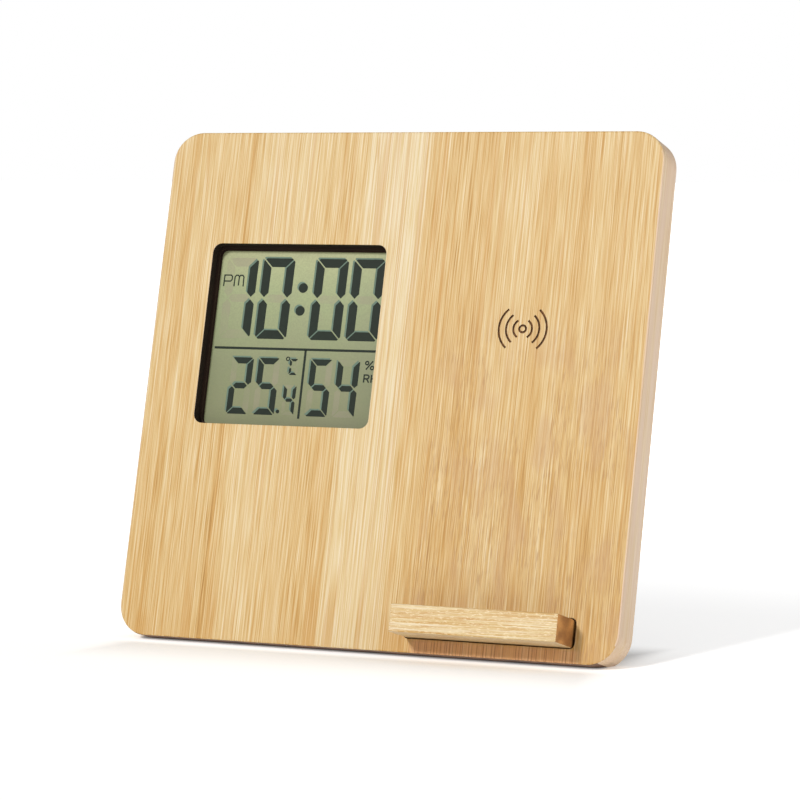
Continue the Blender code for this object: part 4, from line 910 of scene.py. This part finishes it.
dressed("lcd_cell", [glass_ground], "station")
dressed("lcd_frame", [frame_black], "station")
add_layer("lcd_ghost_segments", GHOST_FRONT, READOUT_SHIFT, False, ink_ghost)
# The lit bars' shades are painted shadows: lighter copies of the lit bars, shifted a little up and to the
# left
add_layer("lcd_segment_shades", SHADE_FRONT, SHADE_SHIFT, True, ink_shade)
add_layer("lcd_segments", SEGMENT_FRONT, READOUT_SHIFT, True, ink_dark)
add_border()


# Rear pieces

# The depth of the cover's rear face, in millimetres
COVER_REAR = 11.0
CROSS_LENGTH = 0.0026
CROSS_WIDTH = 0.0005
CROSS_DEPTH = 0.0007
SCREW_COUNT = 6
SCREW_TURN = 37.0
DISH_RADIUS = 0.0019
DISH_DEPTH = 0.0003
DISH_RINGS = 5
DISH_STEPS = 28
GRIP_LINES = 4
GRIP_SPACING = 0.0012
GRIP_LINE = 0.0005
GRIP_LENGTH = 0.008
GRIP_DROP = 0.0058
GRIP_DEPTH = 0.0004
LEG_EASE = 0.00035
PAD_EASE = 0.0004
LEG_ALONG = Vector((0.0, math.sin(LEG_OPEN), -math.cos(LEG_OPEN)))

# The socket's tongue, with half its size in millimetres, and its contacts on both faces
SOCKET_HIGH, SOCKET_MIDDLE = span("usb_socket")
TONGUE_HALF_WIDTH = 3.37
TONGUE_HALF_THICKNESS = 0.37
TONGUE_THICKNESS = 0.0007
CONTACT_COUNT = 8
CONTACT_SPACING = 0.00066
CONTACT_WIDTH = 0.00030
CONTACT_THICKNESS = 0.00003
CONTACT_END = 0.0011
CONTACT_LENGTH = 0.0016


def screw_cross(node, turn):
    """A cutter for the crossed recess in a screw's head, turned by an angle in degrees."""
    high, middle = span(node)
    long, short = CROSS_LENGTH / 2, CROSS_WIDTH / 2
    outline = []
    for step in range(4):
        angle = math.radians(turn + 90 * step)
        for x, y in ((long, short), (short, short), (short, long)):
            outline.append((middle.x + x * math.cos(angle) - y * math.sin(angle),
                            middle.z + x * math.sin(angle) + y * math.cos(angle)))
    bm = bmesh.new()
    add_prism(bm, outline, high.y - CROSS_DEPTH, high.y + CROSS_DEPTH)
    return from_bmesh(bm, "cutter", [recess_dark])


def button_dish(node):
    """A cutter for the shallow dish in a button's cap."""
    high, middle = span(node)
    bm = bmesh.new()
    rings = []
    for k in range(1, DISH_RINGS + 1):
        share = k / DISH_RINGS
        depth = high.y - DISH_DEPTH * (1 - share * share) if k < DISH_RINGS else high.y + DISH_DEPTH
        ring = circle((middle.x, middle.z), DISH_RADIUS * share, DISH_STEPS)
        rings.append([bm.verts.new(on_panel(x, depth, y)) for x, y in ring])
    bm.faces.new(rings[0])
    bm.faces.new(rings[-1])
    for near, far in zip(rings, rings[1:]):
        for i in range(DISH_STEPS):
            j = (i + 1) % DISH_STEPS
            bm.faces.new((near[i], near[j], far[j], far[i]))
    return from_bmesh(bm, "cutter", [button_grey])


def door_grip():
    """A cutter for the short grooves under the nail notch of the battery door."""
    high, middle = span("battery_door")
    left, right = middle.x - GRIP_LENGTH / 2, middle.x + GRIP_LENGTH / 2
    bm = bmesh.new()
    for k in range(GRIP_LINES):
        top = high.z - GRIP_DROP - k * GRIP_SPACING
        outline = ((left, top - GRIP_LINE), (right, top - GRIP_LINE), (right, top), (left, top))
        add_prism(bm, outline, COVER_REAR * MM - GRIP_DEPTH, COVER_REAR * MM + GRIP_DEPTH)
    return from_bmesh(bm, "cutter", [cover_black])


def leg_finish(_, normal):
    """The leg's long faces take the first finish, its two ends the second."""
    return 1 if abs(normal.dot(LEG_ALONG)) > 0.8 else 0


def socket_finish(centre, _):
    """The socket's shell takes the first finish, its tongue the second."""
    away = centre - SOCKET_MIDDLE / MM
    return 1 if abs(away.x) < TONGUE_HALF_WIDTH and abs(away.z) < TONGUE_HALF_THICKNESS else 0


def add_contacts():
    """Thin plates on both faces of the socket's tongue."""
    bm = bmesh.new()
    end = SOCKET_HIGH.y - CONTACT_END
    for side in (-1, 1):
        near = SOCKET_MIDDLE.z + side * TONGUE_THICKNESS / 2
        far = near + side * CONTACT_THICKNESS
        for k in range(CONTACT_COUNT):
            across = SOCKET_MIDDLE.x + (k - (CONTACT_COUNT - 1) / 2) * CONTACT_SPACING
            left, right = across - CONTACT_WIDTH / 2, across + CONTACT_WIDTH / 2
            outline = ((left, near), (right, near), (right, far), (left, far))
            add_prism(bm, outline, end - CONTACT_LENGTH, end)
    add_piece(bm, "usb_contacts", contact_gold, "station")


dressed("rear_cover", [cover_black], "station", rims=(WHOLE_PANEL,), plane=COVER_REAR)
dressed("battery_door", [cover_black], "door", rims=(WHOLE_PANEL,), plane=COVER_REAR,
        cutter=door_grip())
for key in ("unit", "down", "up", "mode"):
    dressed(key + "_button", [button_grey], key + "_key",
            cutter=button_dish(key + "_button"), degrees=50)
dressed("rear_leg", [leg_bamboo, end_grain], "leg", choose=leg_finish, ease=LEG_EASE)
dressed("leg_pad", [pad_rubber], "leg", ease=PAD_EASE)
dressed("leg_pin", [steel_pin], "station")
for number in range(1, SCREW_COUNT + 1):
    screw = f"cover_screw_{number}"
    dressed(screw, [steel_screw], "station", cutter=screw_cross(screw, SCREW_TURN * number))
dressed("usb_socket", [steel_plain, frame_black], "station", choose=socket_finish)
add_contacts()


# Pieces inside the cover: most keep their solids and only take a finish

INNER_FINISH = {
    "lcd_ribbon": film_amber, "clock_board": green_board, "charger_board": green_board,
    "clock_chip": resin_black, "power_chip": resin_black, "humidity_sensor": sensor_white,
    "battery_holder": frame_black, "battery_contact": steel_plain, "unit_switch": frame_black,
    "down_switch": frame_black, "up_switch": frame_black, "mode_switch": frame_black,
    "ferrite_sheet": ferrite_grey,
}
for node, material in INNER_FINISH.items():
    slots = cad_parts[node].data.materials
    slots.clear()
    slots.append(material)
dressed("coin_cell", [steel_cell], "station")
dressed("charging_coil", [copper_lacquer], "station")


# Floor, light and camera

WHITE = (1.0, 1.0, 1.0, 1.0)
FLOOR_SIZE = 40.0
FLOOR_DARKER = (0.90, 0.90, 0.90, 1.0)
FLOOR_LIGHTER = (0.93, 0.93, 0.93, 1.0)

# The floor gives off light of its own, painted light which lifts it towards white. How strong that glow
# is, and from where to where it rises or falls, in metres. It is left out under the object and just
# before it, in a place fixed on the floor, so that the dark there is painted shade as well as cast shade.
GLOW_BEFORE = 0.25
GLOW_BEHIND = 0.52
GLOW_RISE = (-0.040, 0.030)
GLOW_FAR = 0.12
FAR_RISE = (0.09, 0.20)
BESIDE_RISE = (0.066, 0.079)
BEFORE_FALL = (-0.0600, -0.0190)
BEHIND_RISE = (0.000, 0.030)

# A second glow on the floor: painted light in the narrow gap under the panel's lower front edge
GAP_GLOW = 0.36
GAP_RISE = (-0.0270, -0.0205)
GAP_FALL = (-0.0185, -0.0145)

# Lamps: strength, size, colour, the direction they stand in, and how far off
AIM = Vector((0.0, 0.0, 0.07))
ROOM_LIGHT = 0.37
KEY_LIGHT = 2.31
KEY_ANGLE = math.radians(8.0)
KEY_COLOUR = (1.0, 0.985, 0.955)
KEY_FROM = (-0.246, -0.796, 0.553)
KEY_DISTANCE = 1.5
FILL_LIGHT = 6.6
FILL_SIZE = 0.9
FILL_FROM = (0.95, -0.15, 0.25)
FILL_DISTANCE = 1.4

# Camera: the picture's size and the focal length in pixels, and the sensor's width in millimetres
PICTURE_PIXELS = 800
FOCAL_PIXELS = 3200
SENSOR_WIDTH = 36.0
CAMERA_PLACE = Vector((0.37361998, -0.82693782, 0.13734918))
CAMERA_TARGET = Vector((0.01296, -0.0208988, 0.0719753))


def floor_paint():
    """A bright white table with a faint unevenness and a glow of its own: painted light, with painted
    shade where the glow is left out.
    """
    paint = Paint("floor_white", roughness=0.9)
    cloud = paint.noise(paint.place(), (0.004, 0.004, 0.004), detail=1.0)
    paint.set("Base Color", paint.mix(cloud, FLOOR_DARKER, FLOOR_LIGHTER))
    x, y, _ = paint.parts(paint.node("TexCoord", {}, output="Object"))
    beside = paint.spread(paint.math("ABSOLUTE", x), *BESIDE_RISE)
    before = paint.spread(y, *BEFORE_FALL, 1.0, 0.0)
    behind = paint.spread(y, *BEHIND_RISE)
    clear = paint.math("MAXIMUM", beside, paint.math("MAXIMUM", before, behind))
    glow = paint.spread(y, *GLOW_RISE, GLOW_BEFORE, GLOW_BEHIND)
    glow = paint.math("ADD", glow, paint.spread(y, *FAR_RISE, 0.0, GLOW_FAR))
    glow = paint.times(clear, glow)
    gap = paint.times(paint.spread(y, *GAP_RISE), paint.spread(y, *GAP_FALL, 1.0, 0.0))
    gap = paint.times(gap, paint.spread(beside, 0.0, 1.0, GAP_GLOW, 0.0, smooth=False))
    paint.set("Emission Color", WHITE)
    paint.set("Emission Strength", paint.math("ADD", glow, gap))
    paint.set("Specular IOR Level", 0.0)
    return paint.material


def add_floor():
    """One large white square."""
    mesh = bpy.data.meshes.new("floor")
    far = FLOOR_SIZE / 2
    mesh.from_pydata([(-far, -far, 0), (far, -far, 0), (far, far, 0), (-far, far, 0)], [], [(0, 1, 2, 3)])
    add_object("floor", mesh, [floor_paint()])


def add_lamp(light, toward, distance):
    """Points a light at the object from a direction."""
    lamp = bpy.data.objects.new(light.name, light)
    direction = Vector(toward).normalized()
    lamp.location = AIM + direction * distance
    lamp.rotation_euler = direction.to_track_quat("Z", "Y").to_euler()
    lamp.visible_camera = False
    bpy.context.scene.collection.objects.link(lamp)


def add_lamps():
    """A soft sun from the upper left, and a broad fill from the right."""
    sun = bpy.data.lights.new("key", "SUN")
    sun.energy = KEY_LIGHT
    sun.angle = KEY_ANGLE
    sun.color = KEY_COLOUR
    add_lamp(sun, KEY_FROM, KEY_DISTANCE)
    fill = bpy.data.lights.new("fill_right", "AREA")
    fill.shape = "SQUARE"
    fill.size = FILL_SIZE
    fill.energy = FILL_LIGHT
    add_lamp(fill, FILL_FROM, FILL_DISTANCE)


def add_room():
    """Even light from all round, and a plain white backdrop that lights nothing."""
    world = bpy.data.worlds.new("studio")
    world.use_nodes = True
    nodes = world.node_tree.nodes
    join = world.node_tree.links.new
    room_light = nodes["Background"]
    room_light.inputs["Color"].default_value = WHITE
    room_light.inputs["Strength"].default_value = ROOM_LIGHT
    backdrop = nodes.new("ShaderNodeBackground")
    backdrop.inputs["Color"].default_value = WHITE
    backdrop.inputs["Strength"].default_value = 1.0
    sight = nodes.new("ShaderNodeLightPath")
    either = nodes.new("ShaderNodeMixShader")
    join(sight.outputs["Is Camera Ray"], either.inputs[0])
    join(room_light.outputs[0], either.inputs[1])
    join(backdrop.outputs[0], either.inputs[2])
    join(either.outputs[0], nodes["World Output"].inputs["Surface"])
    bpy.context.scene.world = world
    bpy.context.scene.view_settings.view_transform = "Standard"


def add_camera():
    """The photograph's view."""
    data = bpy.data.cameras.new("camera")
    data.sensor_width = SENSOR_WIDTH
    data.lens = FOCAL_PIXELS / PICTURE_PIXELS * SENSOR_WIDTH
    data.clip_start = 0.01
    camera = bpy.data.objects.new("camera", data)
    camera.location = CAMERA_PLACE
    camera.rotation_euler = (CAMERA_PLACE - CAMERA_TARGET).to_track_quat("Z", "Y").to_euler()
    bpy.context.scene.collection.objects.link(camera)
    bpy.context.scene.camera = camera


add_floor()
add_lamps()
add_room()
add_camera()
